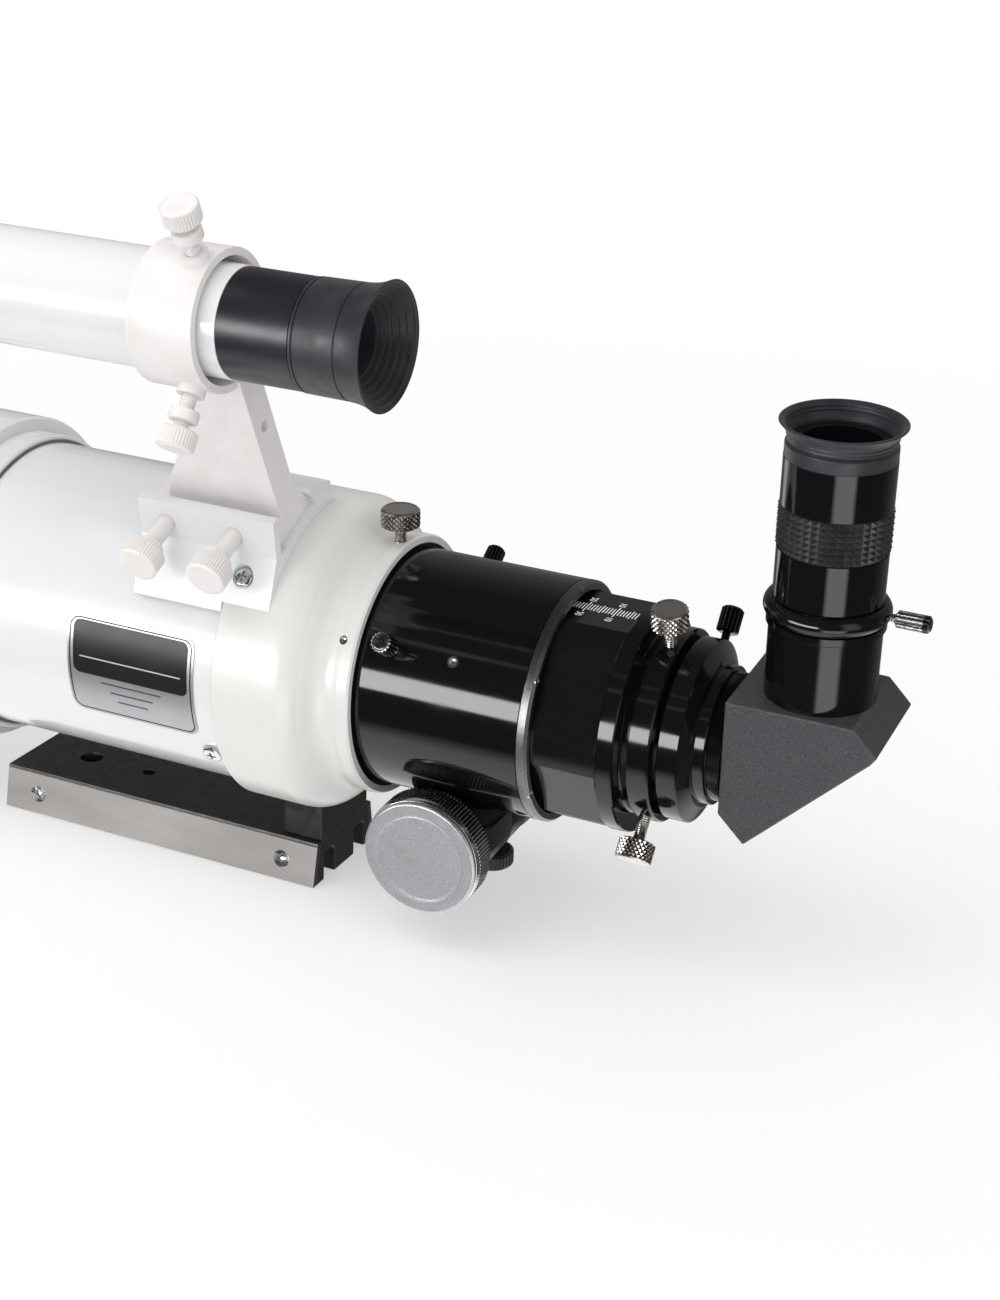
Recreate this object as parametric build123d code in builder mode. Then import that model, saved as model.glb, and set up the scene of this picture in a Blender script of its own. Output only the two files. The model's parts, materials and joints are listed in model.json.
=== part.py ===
from build123d import *
from math import acos, cos, pi, radians, sin, sqrt, tan
import os

# A short refractor telescope: white tube with sliding dew shield, rotating rack-and-pinion
# focuser with a flat-sided drawtube, star diagonal, eyepiece, finder scope and dovetail rail.
# Millimetres. X is the optical axis and points to the eyepiece end, Z is up and -Y is the near
# side. The origin is on the optical axis at the rear face of the focuser's end ring.

# ---- Driving dimensions --------------------------------------------------------------------

RUN = 0.05            # radial clearance of everything that turns or slides
FIT = 0.02            # radial clearance of fixed parts that are glued, screwed or pushed home

# Tube and objective
TUBE_R = 50.8         # 4 inch tube
TUBE_WALL = 1.5
CASTING_FRONT = -105.2
TUBE_FRONT = -327.0
CELL_FRONT = -352.0
CELL_REAR = -315.0
CELL_R = 56.0
LENS_R = 52.0
CLEAR_R = 51.0

# Rear casting
CASTING_R = 54.0
SHOULDER_X = -84.0
RIM_R = 44.2
RIM_FRONT = -66.5
RIM_REAR = -60.3
CASTING_BORE_R = 41.5
SPIGOT_FRONT = -118.0

# Dew shield
SHIELD_R = 58.5
SHIELD_WALL = 1.4
SHIELD_FRONT = -353.0
SHIELD_STEP = -217.0
SHIELD_REAR = -207.7
COLLAR_R = 53.4
FELT_R = 51.8

# Dovetail rail
RAIL_FRONT = -211.5
RAIL_REAR = -83.5
RAIL_TOP = -65.0
RAIL_HEIGHT = 15.5
RAIL_TOP_HALF = 19.3
RAIL_SLOPE = 10.0     # degrees off vertical
STRIP = 2.0           # steel strip thickness
FOOT_HALF = 16.5

# Focuser
FOCUSER_ROLL = 2.5    # turned a little to the near side
HOUSING_R = 39.95
HOUSING_REAR = -3.6
HOUSING_BORE = 37.1
FLANGE_FRONT = -84.0
FLANGE_REAR = -68.0
END_RING_R = 40.0
FLAT = 34.2           # axis to a flat of the drawtube
DRAW_R = 36.6         # turned corners of the drawtube
DRAW_BORE = 30.0
DRAW_FRONT = -80.0
DRAW_REAR = 21.5

# Rack and pinion
MODULE = 1.0
TEETH = 14
PITCH_R = MODULE * TEETH / 2
BACKLASH = 0.12
RACK_ADDENDUM = 0.65 * MODULE
RACK_DEDENDUM = 1.25 * MODULE
RACK_BACK = 1.75      # rack plate under its teeth
PINION_X = -33.4
RACK_LINE = -(FLAT + RACK_BACK + RACK_DEDENDUM)
PINION_Z = RACK_LINE - PITCH_R
SHAFT_R = 3.0
KNOB_R = 20.3
KNOB_IN = 33.5
KNOB_OUT = 45.5

# Visual back, measured along the axis
RING_A = (21.5, 27.2, 37.0)
RING_B = (29.8, 37.0, 31.5)
RING_C = (38.8, 45.6, 29.6)
NECK_R = 30.0         # between the first two rings
TWO_INCH_R = 25.4
CLAMP_X = 33.5
CLAMP_UPPER = (15.5, 38.0)    # roll, and distance from the axis to the foot of the head
CLAMP_LOWER = (142.0, 39.3)
CLAMP_HEAD = 7.0
CLAMP_HEAD_R = 6.0
ADAPTER_SCREW_X = 42.5
ADAPTER_SCREW_ROLL = -37.0
ADAPTER_STEM_R = 1.5
SMALL_RING = (48.4, 51.7, 22.5)
THREAD = (51.7, 56.3, 20.8)
BARREL_R = 15.875     # 1.25 inch eyepiece barrel

# Diagonal and eyepiece, in their own frame turned to the near side
DIAGONAL_ROLL = 4.2
DIAGONAL_FRONT = 56.6
EYE_X = 80.3
BODY_TOP = 22.3
BODY_HALF = 19.8
HOLDER_R = 17.3
EYEPIECE_SEAT = 54.8
EYEPIECE_TOP = 110.2

# Finder and its shoe, in their own frame turned to the near side
FINDER_ROLL = 27.0
FINDER_HEIGHT = 141.0
SHOE_FRONT = -138.0
SHOE_REAR = -88.0
FINDER_R = 18.0
FINDER_REAR_R = 16.9
SLEEVE_X = (-113.0, -91.0)
O_RING_X = -109.5
AIM_X = -96.5

X_DIR = Vector(1, 0, 0)


# ---- Helpers -------------------------------------------------------------------------------

def up(roll):
    """Radial direction that is +Z at no roll and leans to the near side as roll grows."""
    return Vector(0, -sin(radians(roll)), cos(radians(roll)))


def near(roll):
    """Sideways direction that is -Y at no roll."""
    return Vector(0, -cos(radians(roll)), -sin(radians(roll)))


def spot(x, height=0.0, side=0.0, roll=0.0):
    """Point given along the axis, up from it, and sideways to the near side."""
    return X_DIR * x + up(roll) * height + near(roll) * side


def section(x, roll=0.0, height=0.0):
    """Plane across the axis: local x to the far side, local y up, normal along +X."""
    return Plane(origin=spot(x, height, 0, roll), x_dir=near(roll) * -1, z_dir=X_DIR)


def side_view(side, roll=0.0):
    """Plane seen from the near side: local x along the axis, local y up."""
    return Plane(origin=spot(0, 0, side, roll), x_dir=X_DIR, z_dir=near(roll))


def deck(height, roll=0.0):
    """Plane seen from above: local x along the axis, local y to the far side."""
    return Plane(origin=spot(0, height, 0, roll), x_dir=X_DIR, z_dir=up(roll))


def turned(outline, at=Vector(0, 0, 0), direction=X_DIR):
    """Solid of revolution from (height, radius) points, height being along direction."""
    across = up(0) if abs(direction.X) > 0.7 else X_DIR
    plane = Plane(origin=at, x_dir=across, z_dir=across.cross(direction))
    with BuildPart() as solid:
        with BuildSketch(plane):
            with BuildLine():
                Polyline(*[(radius, height) for height, radius in outline], close=True)
            make_face()
        revolve(axis=Axis(at, direction))
    return solid.part


def tube_of(start, end, inner, outer, at=Vector(0, 0, 0), direction=X_DIR):
    """Plain ring or, with no inner radius, a plain rod."""
    return turned([(start, inner), (start, outer), (end, outer), (end, inner)], at, direction)


def pin(start, end, radius, at=Vector(0, 0, 0), direction=X_DIR):
    """Plain rod along direction."""
    return tube_of(start, end, 0, radius, at, direction)


def thumbscrew(tip, foot, top, stem_r, head_r, at, direction, edge=0.5):
    """Screw with a plain stem and a round head with broken edges."""
    return turned(
        [(tip, 0), (tip, stem_r), (foot, stem_r), (foot, head_r - edge), (foot + edge, head_r),
         (top - edge, head_r), (top, head_r - edge), (top, 0)],
        at, direction)


def pan_head(stem_tip, seat, stem_r, head_r, head_h, at, direction):
    """Domed screw head on a stem, with a cross recess left as a shallow round pit."""
    return turned(
        [(stem_tip, 0), (stem_tip, stem_r), (seat, stem_r), (seat, head_r),
         (seat + head_h * 0.55, head_r * 0.9), (seat + head_h, head_r * 0.5),
         (seat + head_h, head_r * 0.3), (seat + head_h * 0.4, 0)],
        at, direction)


# ---- Tube ----------------------------------------------------------------------------------

TUBE_SCREW_X = -110.0
TUBE_SCREW_ROLLS = (1.0, 121.0, 241.0)
RIM_SCREW_X = -65.0
SHOE_SCREWS = ((-99.0, 49.0, 55.6), (-125.0, 27.0, 55.2))   # x, roll, height of the seat
BOLT_X = -91.0
RIM_SCREW_ROLLS = (61.0, 181.0, 301.0)
SCREW_R = 1.6
SET_R = 1.5

with BuildPart() as tube:
    add(tube_of(TUBE_FRONT, CASTING_FRONT, TUBE_R - TUBE_WALL, TUBE_R))
    for roll in TUBE_SCREW_ROLLS:
        add(pin(40, 60, SCREW_R + FIT, spot(TUBE_SCREW_X), up(roll)), mode=Mode.SUBTRACT)
    for screw_x, roll, seat in SHOE_SCREWS:
        add(pin(40, 60, SCREW_R + FIT, spot(screw_x), up(roll)), mode=Mode.SUBTRACT)
tube.part.label = "tube"

# Rear casting: spigot in the tube, full belly, rounded shoulder, hollow neck and rim
LOCK_X = -63.7
LOCK_ROLL = 3.6
LOCK_R = 2.0
with BuildPart() as rear_casting:
    with BuildSketch(Plane.XY):
        with BuildLine():
            Polyline((CASTING_FRONT, TUBE_R - TUBE_WALL - FIT), (CASTING_FRONT, CASTING_R - 0.9),
                     (CASTING_FRONT + 0.9, CASTING_R), (SHOULDER_X, CASTING_R))
            RadiusArc((SHOULDER_X, CASTING_R), (SHOULDER_X + 8.5, CASTING_R - 4.2), 11.0)
            Spline((SHOULDER_X + 8.5, CASTING_R - 4.2), (SHOULDER_X + 12.5, CASTING_R - 8.6),
                   (RIM_FRONT, RIM_R - 0.6), tangents=((1, -0.85), (1, 0.05)))
            Polyline((RIM_FRONT, RIM_R - 0.6), (RIM_FRONT + 2, RIM_R), (RIM_REAR - 0.8, RIM_R),
                     (RIM_REAR, RIM_R - 0.6), (RIM_REAR, CASTING_BORE_R),
                     (FLANGE_FRONT - 0.3, CASTING_BORE_R), (FLANGE_FRONT - 0.3, 38.5),
                     (FLANGE_FRONT - 3, 38.5), (-93.0, 47.5), (SPIGOT_FRONT, 47.5),
                     (SPIGOT_FRONT, TUBE_R - TUBE_WALL - FIT),
                     (CASTING_FRONT, TUBE_R - TUBE_WALL - FIT))
        make_face()
    revolve(axis=Axis.X)
    for roll in TUBE_SCREW_ROLLS:
        add(pin(44, 60, SCREW_R + FIT, spot(TUBE_SCREW_X), up(roll)), mode=Mode.SUBTRACT)
    for roll in RIM_SCREW_ROLLS:
        add(pin(40, 60, SET_R + FIT, spot(RIM_SCREW_X), up(roll)), mode=Mode.SUBTRACT)
    add(pin(40, 60, LOCK_R + RUN, spot(LOCK_X), up(LOCK_ROLL)), mode=Mode.SUBTRACT)
    add(pin(44, 60, SCREW_R + FIT, spot(SHOE_SCREWS[0][0]), up(SHOE_SCREWS[0][1])),
        mode=Mode.SUBTRACT)
    add(pin(-75, -50, 2.5 + FIT, spot(BOLT_X), up(0)), mode=Mode.SUBTRACT)
rear_casting.part.label = "rear_casting"

with BuildPart() as casting_screws:
    for roll in TUBE_SCREW_ROLLS:
        add(pan_head(46.5, TUBE_R + 0.15, SCREW_R, 3.2, 1.7, spot(TUBE_SCREW_X), up(roll)))
    for roll in RIM_SCREW_ROLLS:
        add(turned([(41.8, 0), (41.8, SET_R), (43.6, SET_R), (43.6, 0.8), (42.6, 0.8), (42.6, 0)],
                   spot(RIM_SCREW_X), up(roll)))
casting_screws.part.label = "casting_screws"

with BuildPart() as rotation_lock:
    add(thumbscrew(CASTING_BORE_R + 0.1, 49.3, 55.6, LOCK_R, 6.6, spot(LOCK_X), up(LOCK_ROLL)))
rotation_lock.part.label = "rotation_lock"

# Label plate: thin curved sheet with rounded corners on the near side
LABEL_X = (-161.5, -113.0)
LABEL_SIDE = -2.5     # height of the middle of the label
LABEL_HEIGHT = 35.0
with BuildPart() as label_plate:
    with BuildSketch(side_view(TUBE_R - 8)):
        with Locations(((LABEL_X[0] + LABEL_X[1]) / 2, LABEL_SIDE)):
            RectangleRounded(LABEL_X[1] - LABEL_X[0], LABEL_HEIGHT, 4)
    extrude(amount=12)
    add(tube_of(LABEL_X[0] - 5, LABEL_X[1] + 5, TUBE_R, TUBE_R + 0.4), mode=Mode.INTERSECT)
label_plate.part.label = "label_plate"

# ---- Objective -----------------------------------------------------------------------------

CROWN_EDGE = (-344.5, -340.5)
FLINT_EDGE = (-340.3, -331.5)
SURFACES = (300.0, 200.0, 900.0)    # radii of the front, the two facing and the last surface


def sag(radius_of_curvature, aperture):
    """Depth of a spherical surface over a given half aperture."""
    return radius_of_curvature - sqrt(radius_of_curvature ** 2 - aperture ** 2)


with BuildPart() as lens_cell:
    add(turned([(CELL_FRONT, LENS_R + 1.2), (CELL_FRONT, CELL_R - 0.6), (CELL_FRONT + 0.6, CELL_R),
                (CELL_REAR - 0.6, CELL_R), (CELL_REAR, CELL_R - 0.6), (CELL_REAR, TUBE_R + FIT),
                (TUBE_FRONT, TUBE_R + FIT), (TUBE_FRONT, 49.2), (FLINT_EDGE[1], 49.2),
                (FLINT_EDGE[1], LENS_R + FIT), (CELL_FRONT + 4, LENS_R + FIT)]))
lens_cell.part.label = "lens_cell"

with BuildPart() as crown_lens:
    with BuildSketch(Plane.XY):
        with BuildLine():
            Line((CROWN_EDGE[0] - sag(SURFACES[0], CLEAR_R), 0),
                 (CROWN_EDGE[1] + sag(SURFACES[1], CLEAR_R), 0))
            RadiusArc((CROWN_EDGE[1] + sag(SURFACES[1], CLEAR_R), 0), (CROWN_EDGE[1], CLEAR_R),
                      -SURFACES[1])
            Polyline((CROWN_EDGE[1], CLEAR_R), (CROWN_EDGE[1], LENS_R), (CROWN_EDGE[0], LENS_R),
                     (CROWN_EDGE[0], CLEAR_R))
            RadiusArc((CROWN_EDGE[0], CLEAR_R), (CROWN_EDGE[0] - sag(SURFACES[0], CLEAR_R), 0),
                      -SURFACES[0])
        make_face()
    revolve(axis=Axis.X)
crown_lens.part.label = "crown_lens"

with BuildPart() as flint_lens:
    with BuildSketch(Plane.XY):
        with BuildLine():
            Line((FLINT_EDGE[0] + sag(SURFACES[1], CLEAR_R), 0),
                 (FLINT_EDGE[1] + sag(SURFACES[2], CLEAR_R - 3), 0))
            RadiusArc((FLINT_EDGE[1] + sag(SURFACES[2], CLEAR_R - 3), 0),
                      (FLINT_EDGE[1], CLEAR_R - 3), -SURFACES[2])
            Polyline((FLINT_EDGE[1], CLEAR_R - 3), (FLINT_EDGE[1], LENS_R),
                     (FLINT_EDGE[0], LENS_R), (FLINT_EDGE[0], CLEAR_R))
            RadiusArc((FLINT_EDGE[0], CLEAR_R), (FLINT_EDGE[0] + sag(SURFACES[1], CLEAR_R), 0),
                      SURFACES[1])
        make_face()
    revolve(axis=Axis.X)
flint_lens.part.label = "flint_lens"

with BuildPart() as lens_retainer:
    add(turned([(-350.5, CLEAR_R), (-350.5, LENS_R), (CROWN_EDGE[0], LENS_R),
                (CROWN_EDGE[0], CLEAR_R + 0.2), (-349.5, CLEAR_R + 0.2)]))
lens_retainer.part.label = "lens_retainer"

BAFFLES = ((-280.0, 43.5), (-220.0, 37.5), (-160.0, 32.0))
with BuildPart() as baffles:
    for baffle_x, opening in BAFFLES:
        add(turned([(baffle_x, opening), (baffle_x, TUBE_R - TUBE_WALL - FIT),
                    (baffle_x + 6, TUBE_R - TUBE_WALL - FIT),
                    (baffle_x + 6, TUBE_R - TUBE_WALL - 1), (baffle_x + 1, TUBE_R - TUBE_WALL - 1),
                    (baffle_x + 1, opening)]))
baffles.part.label = "baffles"

# ---- Dew shield ----------------------------------------------------------------------------

with BuildPart() as dew_shield:
    add(turned([(SHIELD_FRONT, SHIELD_R - SHIELD_WALL), (SHIELD_FRONT, SHIELD_R),
                (SHIELD_STEP - 0.8, SHIELD_R), (SHIELD_STEP, SHIELD_R - 0.8),
                (SHIELD_STEP, COLLAR_R), (SHIELD_REAR - 0.5, COLLAR_R),
                (SHIELD_REAR, COLLAR_R - 0.5), (SHIELD_REAR, FELT_R),
                (SHIELD_STEP - 4, FELT_R), (SHIELD_STEP - 4, SHIELD_R - SHIELD_WALL)]))
dew_shield.part.label = "dew_shield"

with BuildPart() as dew_shield_felt:
    add(tube_of(SHIELD_STEP - 4, SHIELD_REAR + 0.4, TUBE_R + RUN, FELT_R))
dew_shield_felt.part.label = "dew_shield_felt"

# ---- Dovetail rail -------------------------------------------------------------------------

RAIL_BOTTOM = RAIL_TOP - RAIL_HEIGHT
SLOPE = tan(radians(RAIL_SLOPE))
WEB_HALF = 7.0
SLOT_OUT = 14.6
SLOT_TOP = RAIL_TOP - 5.0
STRIP_TOP = RAIL_TOP - 1.2


def rail_side(z):
    """Half-width of the finished rail, over its steel strips, at height z."""
    return RAIL_TOP_HALF + (RAIL_TOP - z) * SLOPE


STRIP_NORMAL = (cos(radians(RAIL_SLOPE)), sin(radians(RAIL_SLOPE)))
STRIP_SCREW_Z = -73.3
STRIP_SCREW_X = (-198.0, -97.0)
FOOT_X = (-98.5, -83.5)

with BuildPart() as dovetail_rail:
    with BuildSketch(section(RAIL_FRONT)):
        with BuildLine():
            Polyline((-RAIL_TOP_HALF, RAIL_TOP), (RAIL_TOP_HALF, RAIL_TOP),
                     (rail_side(STRIP_TOP), STRIP_TOP), (rail_side(STRIP_TOP) - STRIP, STRIP_TOP),
                     (rail_side(RAIL_BOTTOM) - STRIP, RAIL_BOTTOM), (SLOT_OUT, RAIL_BOTTOM),
                     (SLOT_OUT, SLOT_TOP), (WEB_HALF, SLOT_TOP), (WEB_HALF, RAIL_BOTTOM),
                     (-WEB_HALF, RAIL_BOTTOM), (-WEB_HALF, SLOT_TOP), (-SLOT_OUT, SLOT_TOP),
                     (-SLOT_OUT, RAIL_BOTTOM), (STRIP - rail_side(RAIL_BOTTOM), RAIL_BOTTOM),
                     (STRIP - rail_side(STRIP_TOP), STRIP_TOP), (-rail_side(STRIP_TOP), STRIP_TOP),
                     close=True)
        make_face()
    extrude(amount=RAIL_REAR - RAIL_FRONT)
    slot_corners = dovetail_rail.edges().filter_by(Axis.X).filter_by(
        lambda edge: abs(edge.center().Z - SLOT_TOP) < 0.1)
    fillet(slot_corners, radius=2.0)
    for hole_x, hole_r in ((-189.0, 4.25), (-164.0, 2.5)):
        add(pin(RAIL_BOTTOM - 1, RAIL_TOP + 1, hole_r, spot(hole_x), up(0)), mode=Mode.SUBTRACT)
    add(pin(RAIL_BOTTOM - 1, RAIL_TOP + 1, 2.5 + FIT, spot(BOLT_X), up(0)), mode=Mode.SUBTRACT)
    add(pin(RAIL_BOTTOM - 1, RAIL_BOTTOM + 5, 4.5, spot(BOLT_X), up(0)), mode=Mode.SUBTRACT)
    for screw_x in STRIP_SCREW_X:
        for hand in (1, -1):
            outward = Vector(0, hand * STRIP_NORMAL[0], STRIP_NORMAL[1])
            face = Vector(screw_x, hand * rail_side(STRIP_SCREW_Z), STRIP_SCREW_Z)
            add(pin(-4.6, 1, 1.5 + FIT, face, outward), mode=Mode.SUBTRACT)
dovetail_rail.part.label = "dovetail_rail"

with BuildPart() as rail_strips:
    for hand in (1, -1):
        with BuildSketch(section(RAIL_FRONT)):
            with BuildLine():
                Polyline((hand * rail_side(STRIP_TOP), STRIP_TOP),
                         (hand * (rail_side(STRIP_TOP) - STRIP), STRIP_TOP),
                         (hand * (rail_side(RAIL_BOTTOM) - STRIP), RAIL_BOTTOM),
                         (hand * rail_side(RAIL_BOTTOM), RAIL_BOTTOM), close=True)
            make_face()
        extrude(amount=RAIL_REAR - RAIL_FRONT)
    for screw_x in STRIP_SCREW_X:
        for hand in (1, -1):
            outward = Vector(0, hand * STRIP_NORMAL[0], STRIP_NORMAL[1])
            face = Vector(screw_x, hand * rail_side(STRIP_SCREW_Z), STRIP_SCREW_Z)
            add(turned([(-4, 0), (-4, 1.5 + FIT), (-1.6, 1.5 + FIT), (0, 3.1 + FIT), (1, 3.1),
                        (1, 0)], face, outward), mode=Mode.SUBTRACT)
rail_strips.part.label = "rail_strips"

with BuildPart() as rail_screws:
    for screw_x in STRIP_SCREW_X:
        for hand in (1, -1):
            outward = Vector(0, hand * STRIP_NORMAL[0], STRIP_NORMAL[1])
            face = Vector(screw_x, hand * rail_side(STRIP_SCREW_Z), STRIP_SCREW_Z)
            add(turned([(-4.5, 0), (-4.5, 1.5), (-1.6, 1.5), (-0.05, 3.05), (-0.05, 1.0),
                        (-1.2, 1.0), (-1.2, 0)], face, outward))
    add(turned([(RAIL_BOTTOM + 0.8, 2.0), (RAIL_BOTTOM + 0.8, 4.2), (RAIL_BOTTOM + 5, 4.2),
                (RAIL_BOTTOM + 5, 2.5), (-51, 2.5), (-51, 0), (RAIL_BOTTOM + 3, 0),
                (RAIL_BOTTOM + 3, 2.0)], spot(BOLT_X), up(0)))
rail_screws.part.label = "rail_screws"

with BuildPart() as rail_foot:
    with BuildSketch(deck(RAIL_TOP)):
        with Locations(((FOOT_X[0] + FOOT_X[1]) / 2, 0)):
            Rectangle(FOOT_X[1] - FOOT_X[0], 2 * FOOT_HALF)
    extrude(amount=20)
    add(pin(-120, -60, CASTING_R), mode=Mode.SUBTRACT)
    add(pin(-70, -50, 2.5 + FIT, spot(BOLT_X), up(0)), mode=Mode.SUBTRACT)
rail_foot.part.label = "rail_foot"

# ---- Finder shoe ---------------------------------------------------------------------------

CLAMP_SCREW_X = (-128.0, -103.0)
CLAMP_SCREW_H = 63.5
SHOE_STEM_R = 2.9
SHOE_FLOOR = 57.5
with BuildPart() as finder_shoe:
    with BuildSketch(section(SHOE_FRONT, FINDER_ROLL)):
        with BuildLine():
            Polyline((-30.0, 44.0), (-16.2, 58.4), (-12.6, 70.6), (-9.8, 70.6),
                     (-12.8, SHOE_FLOOR + 1.2), (-12.8, SHOE_FLOOR), (11.3, SHOE_FLOOR),
                     (11.3, SHOE_FLOOR + 1.2), (9.0, 64.0), (10.5, 64.6), (21.8, 58.0),
                     (21.8, 44.0), close=True)
        make_face()
    extrude(amount=SHOE_REAR - SHOE_FRONT)
    add(pin(SHOE_FRONT - 1, CASTING_FRONT, TUBE_R), mode=Mode.SUBTRACT)
    add(pin(CASTING_FRONT, SHOE_REAR + 1, CASTING_R), mode=Mode.SUBTRACT)
    for screw_x in CLAMP_SCREW_X:
        add(pin(5, 30, SHOE_STEM_R + RUN, spot(screw_x, CLAMP_SCREW_H, 0, FINDER_ROLL),
                near(FINDER_ROLL)), mode=Mode.SUBTRACT)
    for screw_x, roll, seat in SHOE_SCREWS:
        add(pin(40, 70, SCREW_R + FIT, spot(screw_x), up(roll)), mode=Mode.SUBTRACT)
        add(pin(seat, 70, 3.7, spot(screw_x), up(roll)), mode=Mode.SUBTRACT)
    add(pin(40, TUBE_R + 2.4, 3.7, spot(TUBE_SCREW_X), up(TUBE_SCREW_ROLLS[0])),
        mode=Mode.SUBTRACT)
finder_shoe.part.label = "finder_shoe"

with BuildPart() as shoe_screws:
    for screw_x, roll, seat in SHOE_SCREWS:
        add(pan_head(47.5, seat, SCREW_R, 3.2, 1.9, spot(screw_x), up(roll)))
shoe_screws.part.label = "shoe_screws"


def clamp_screw(x):
    """Plastic thumbscrew with a collar under its head, square to the shoe's near wall."""
    return turned([(9.7, 0), (9.7, SHOE_STEM_R), (25.0, SHOE_STEM_R), (25.0, 4.6), (27.6, 4.9),
                   (27.6, 6.4),
                   (28.0, 6.8), (34.2, 6.8), (34.8, 6.2), (34.8, 0)],
                  spot(x, CLAMP_SCREW_H, 0, FINDER_ROLL), near(FINDER_ROLL))


with BuildPart() as shoe_clamp_front:
    add(clamp_screw(CLAMP_SCREW_X[0]))
shoe_clamp_front.part.label = "shoe_clamp_front"

with BuildPart() as shoe_clamp_rear:
    add(clamp_screw(CLAMP_SCREW_X[1]))
shoe_clamp_rear.part.label = "shoe_clamp_rear"

# ---- Finder bracket and finder -------------------------------------------------------------

AIM_ANGLE = 60.0      # between the stalk and each of the two lower aiming screws
AIM_TIP = 17.35
AIM_STEM_R = 2.4
SLEEVE_R = 21.6
SLEEVE_BORE = 19.2
SEAT_BORE = 18.3
SEAT_END = -105.0     # the sleeve is bored wider behind this
STALK_HALF = 5.5
FOOT_FRONT = -136.0
FOOT_REAR = -90.0
FINDER_AT = spot(0, FINDER_HEIGHT, 0, FINDER_ROLL)


def aim_direction(angle):
    """Direction out of the finder's axis, angle being measured from the stalk to the near side."""
    return near(FINDER_ROLL) * sin(radians(angle)) - up(FINDER_ROLL) * cos(radians(angle))


def aim_screw(angle):
    """Plastic aiming screw with its lock collar and round head."""
    return turned([(AIM_TIP, 0), (AIM_TIP, AIM_STEM_R), (28.6, AIM_STEM_R), (29.0, 4.2),
                   (31.2, 4.6), (32.4, AIM_STEM_R), (34.6, AIM_STEM_R), (34.6, 5.3),
                   (35.1, 5.8), (40.4, 5.8), (41.0, 5.2), (41.0, 0)],
                  spot(AIM_X, FINDER_HEIGHT, 0, FINDER_ROLL), aim_direction(angle))


with BuildPart() as finder_bracket:
    with BuildSketch(section(FOOT_FRONT, FINDER_ROLL)):
        with BuildLine():
            Polyline((-9.6, SHOE_FLOOR + RUN), (-7.9, 66.2), (8.9, 66.2), (8.9, 63.9),
                     (11.2, 58.6), (11.2, SHOE_FLOOR + RUN), close=True)
        make_face()
    extrude(amount=FOOT_REAR - FOOT_FRONT)
    with BuildSketch(side_view(-STALK_HALF, FINDER_ROLL)):
        with BuildLine():
            Polyline((FOOT_REAR, 66), (FOOT_REAR, 122), (-106, 122), (-117.8, 94.3),
                     (-127.5, 76.5), (-131.5, 66), close=True)
        make_face()
    extrude(amount=2 * STALK_HALF)
    add(tube_of(SLEEVE_X[0], SLEEVE_X[1], 10, SLEEVE_R, FINDER_AT))
    for angle in (AIM_ANGLE, -AIM_ANGLE, 180):
        add(pin(20, 24.2, 4.3, spot(AIM_X, FINDER_HEIGHT, 0, FINDER_ROLL), aim_direction(angle)))
    add(pin(SLEEVE_X[0] - 5, SEAT_END, SEAT_BORE, FINDER_AT), mode=Mode.SUBTRACT)
    add(pin(SEAT_END, SLEEVE_X[1] + 5, SLEEVE_BORE, FINDER_AT), mode=Mode.SUBTRACT)
    add(pin(O_RING_X - 1.5, O_RING_X + 1.5, 20.2, FINDER_AT), mode=Mode.SUBTRACT)
    for angle in (AIM_ANGLE, -AIM_ANGLE, 180):
        add(pin(10, 30, AIM_STEM_R + RUN, spot(AIM_X, FINDER_HEIGHT, 0, FINDER_ROLL),
                aim_direction(angle)), mode=Mode.SUBTRACT)
    add(pin(FOOT_REAR - 6, FOOT_REAR + 1, 1.9, spot(0, 100, 0, FINDER_ROLL)), mode=Mode.SUBTRACT)
finder_bracket.part.label = "finder_bracket"

with BuildPart() as aim_screw_near:
    add(aim_screw(AIM_ANGLE))
aim_screw_near.part.label = "aim_screw_near"

with BuildPart() as aim_screw_far:
    add(aim_screw(-AIM_ANGLE))
aim_screw_far.part.label = "aim_screw_far"

with BuildPart() as aim_screw_top:
    add(aim_screw(180))
aim_screw_top.part.label = "aim_screw_top"

with BuildPart() as finder_o_ring:
    with BuildSketch(Plane(origin=spot(O_RING_X, FINDER_HEIGHT, 0, FINDER_ROLL),
                           x_dir=up(FINDER_ROLL), z_dir=near(FINDER_ROLL))):
        with Locations((19.1, 0)):
            Circle(1.0)
    revolve(axis=Axis(FINDER_AT, X_DIR))
finder_o_ring.part.label = "finder_o_ring"

BELL_R = 21.0
BELL_FRONT = -216.0
BELL_BORE = 19.4
FINDER_BORE = 15.6
FINDER_LENS_R = 16.5
LENS_SEAT = -203.0
TUBE_END = -86.1
BARREL_END = -62.6
BARREL_OUT_R = 16.7
BARREL_IN_R = 14.5
EYE_LENS_R = 11.0
with BuildPart() as finder_tube:
    add(turned([(BELL_FRONT, BELL_BORE), (BELL_FRONT, BELL_R - 0.5), (BELL_FRONT + 0.5, BELL_R),
                (-187, BELL_R), (-180, FINDER_R), (-104.6, FINDER_R), (-101.6, FINDER_REAR_R),
                (TUBE_END, FINDER_REAR_R), (TUBE_END, FINDER_BORE), (LENS_SEAT, FINDER_BORE),
                (LENS_SEAT, FINDER_LENS_R + FIT), (LENS_SEAT - 6, FINDER_LENS_R + FIT),
                (LENS_SEAT - 6, BELL_BORE)], FINDER_AT))
finder_tube.part.label = "finder_tube"

with BuildPart() as finder_objective:
    add(turned([(-207.4, 0), (-206.9, 8), (-205.6, 15), (-205.6, FINDER_LENS_R),
                (LENS_SEAT, FINDER_LENS_R), (LENS_SEAT, 15), (-202.2, 8), (-202, 0)], FINDER_AT))
finder_objective.part.label = "finder_objective"

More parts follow.
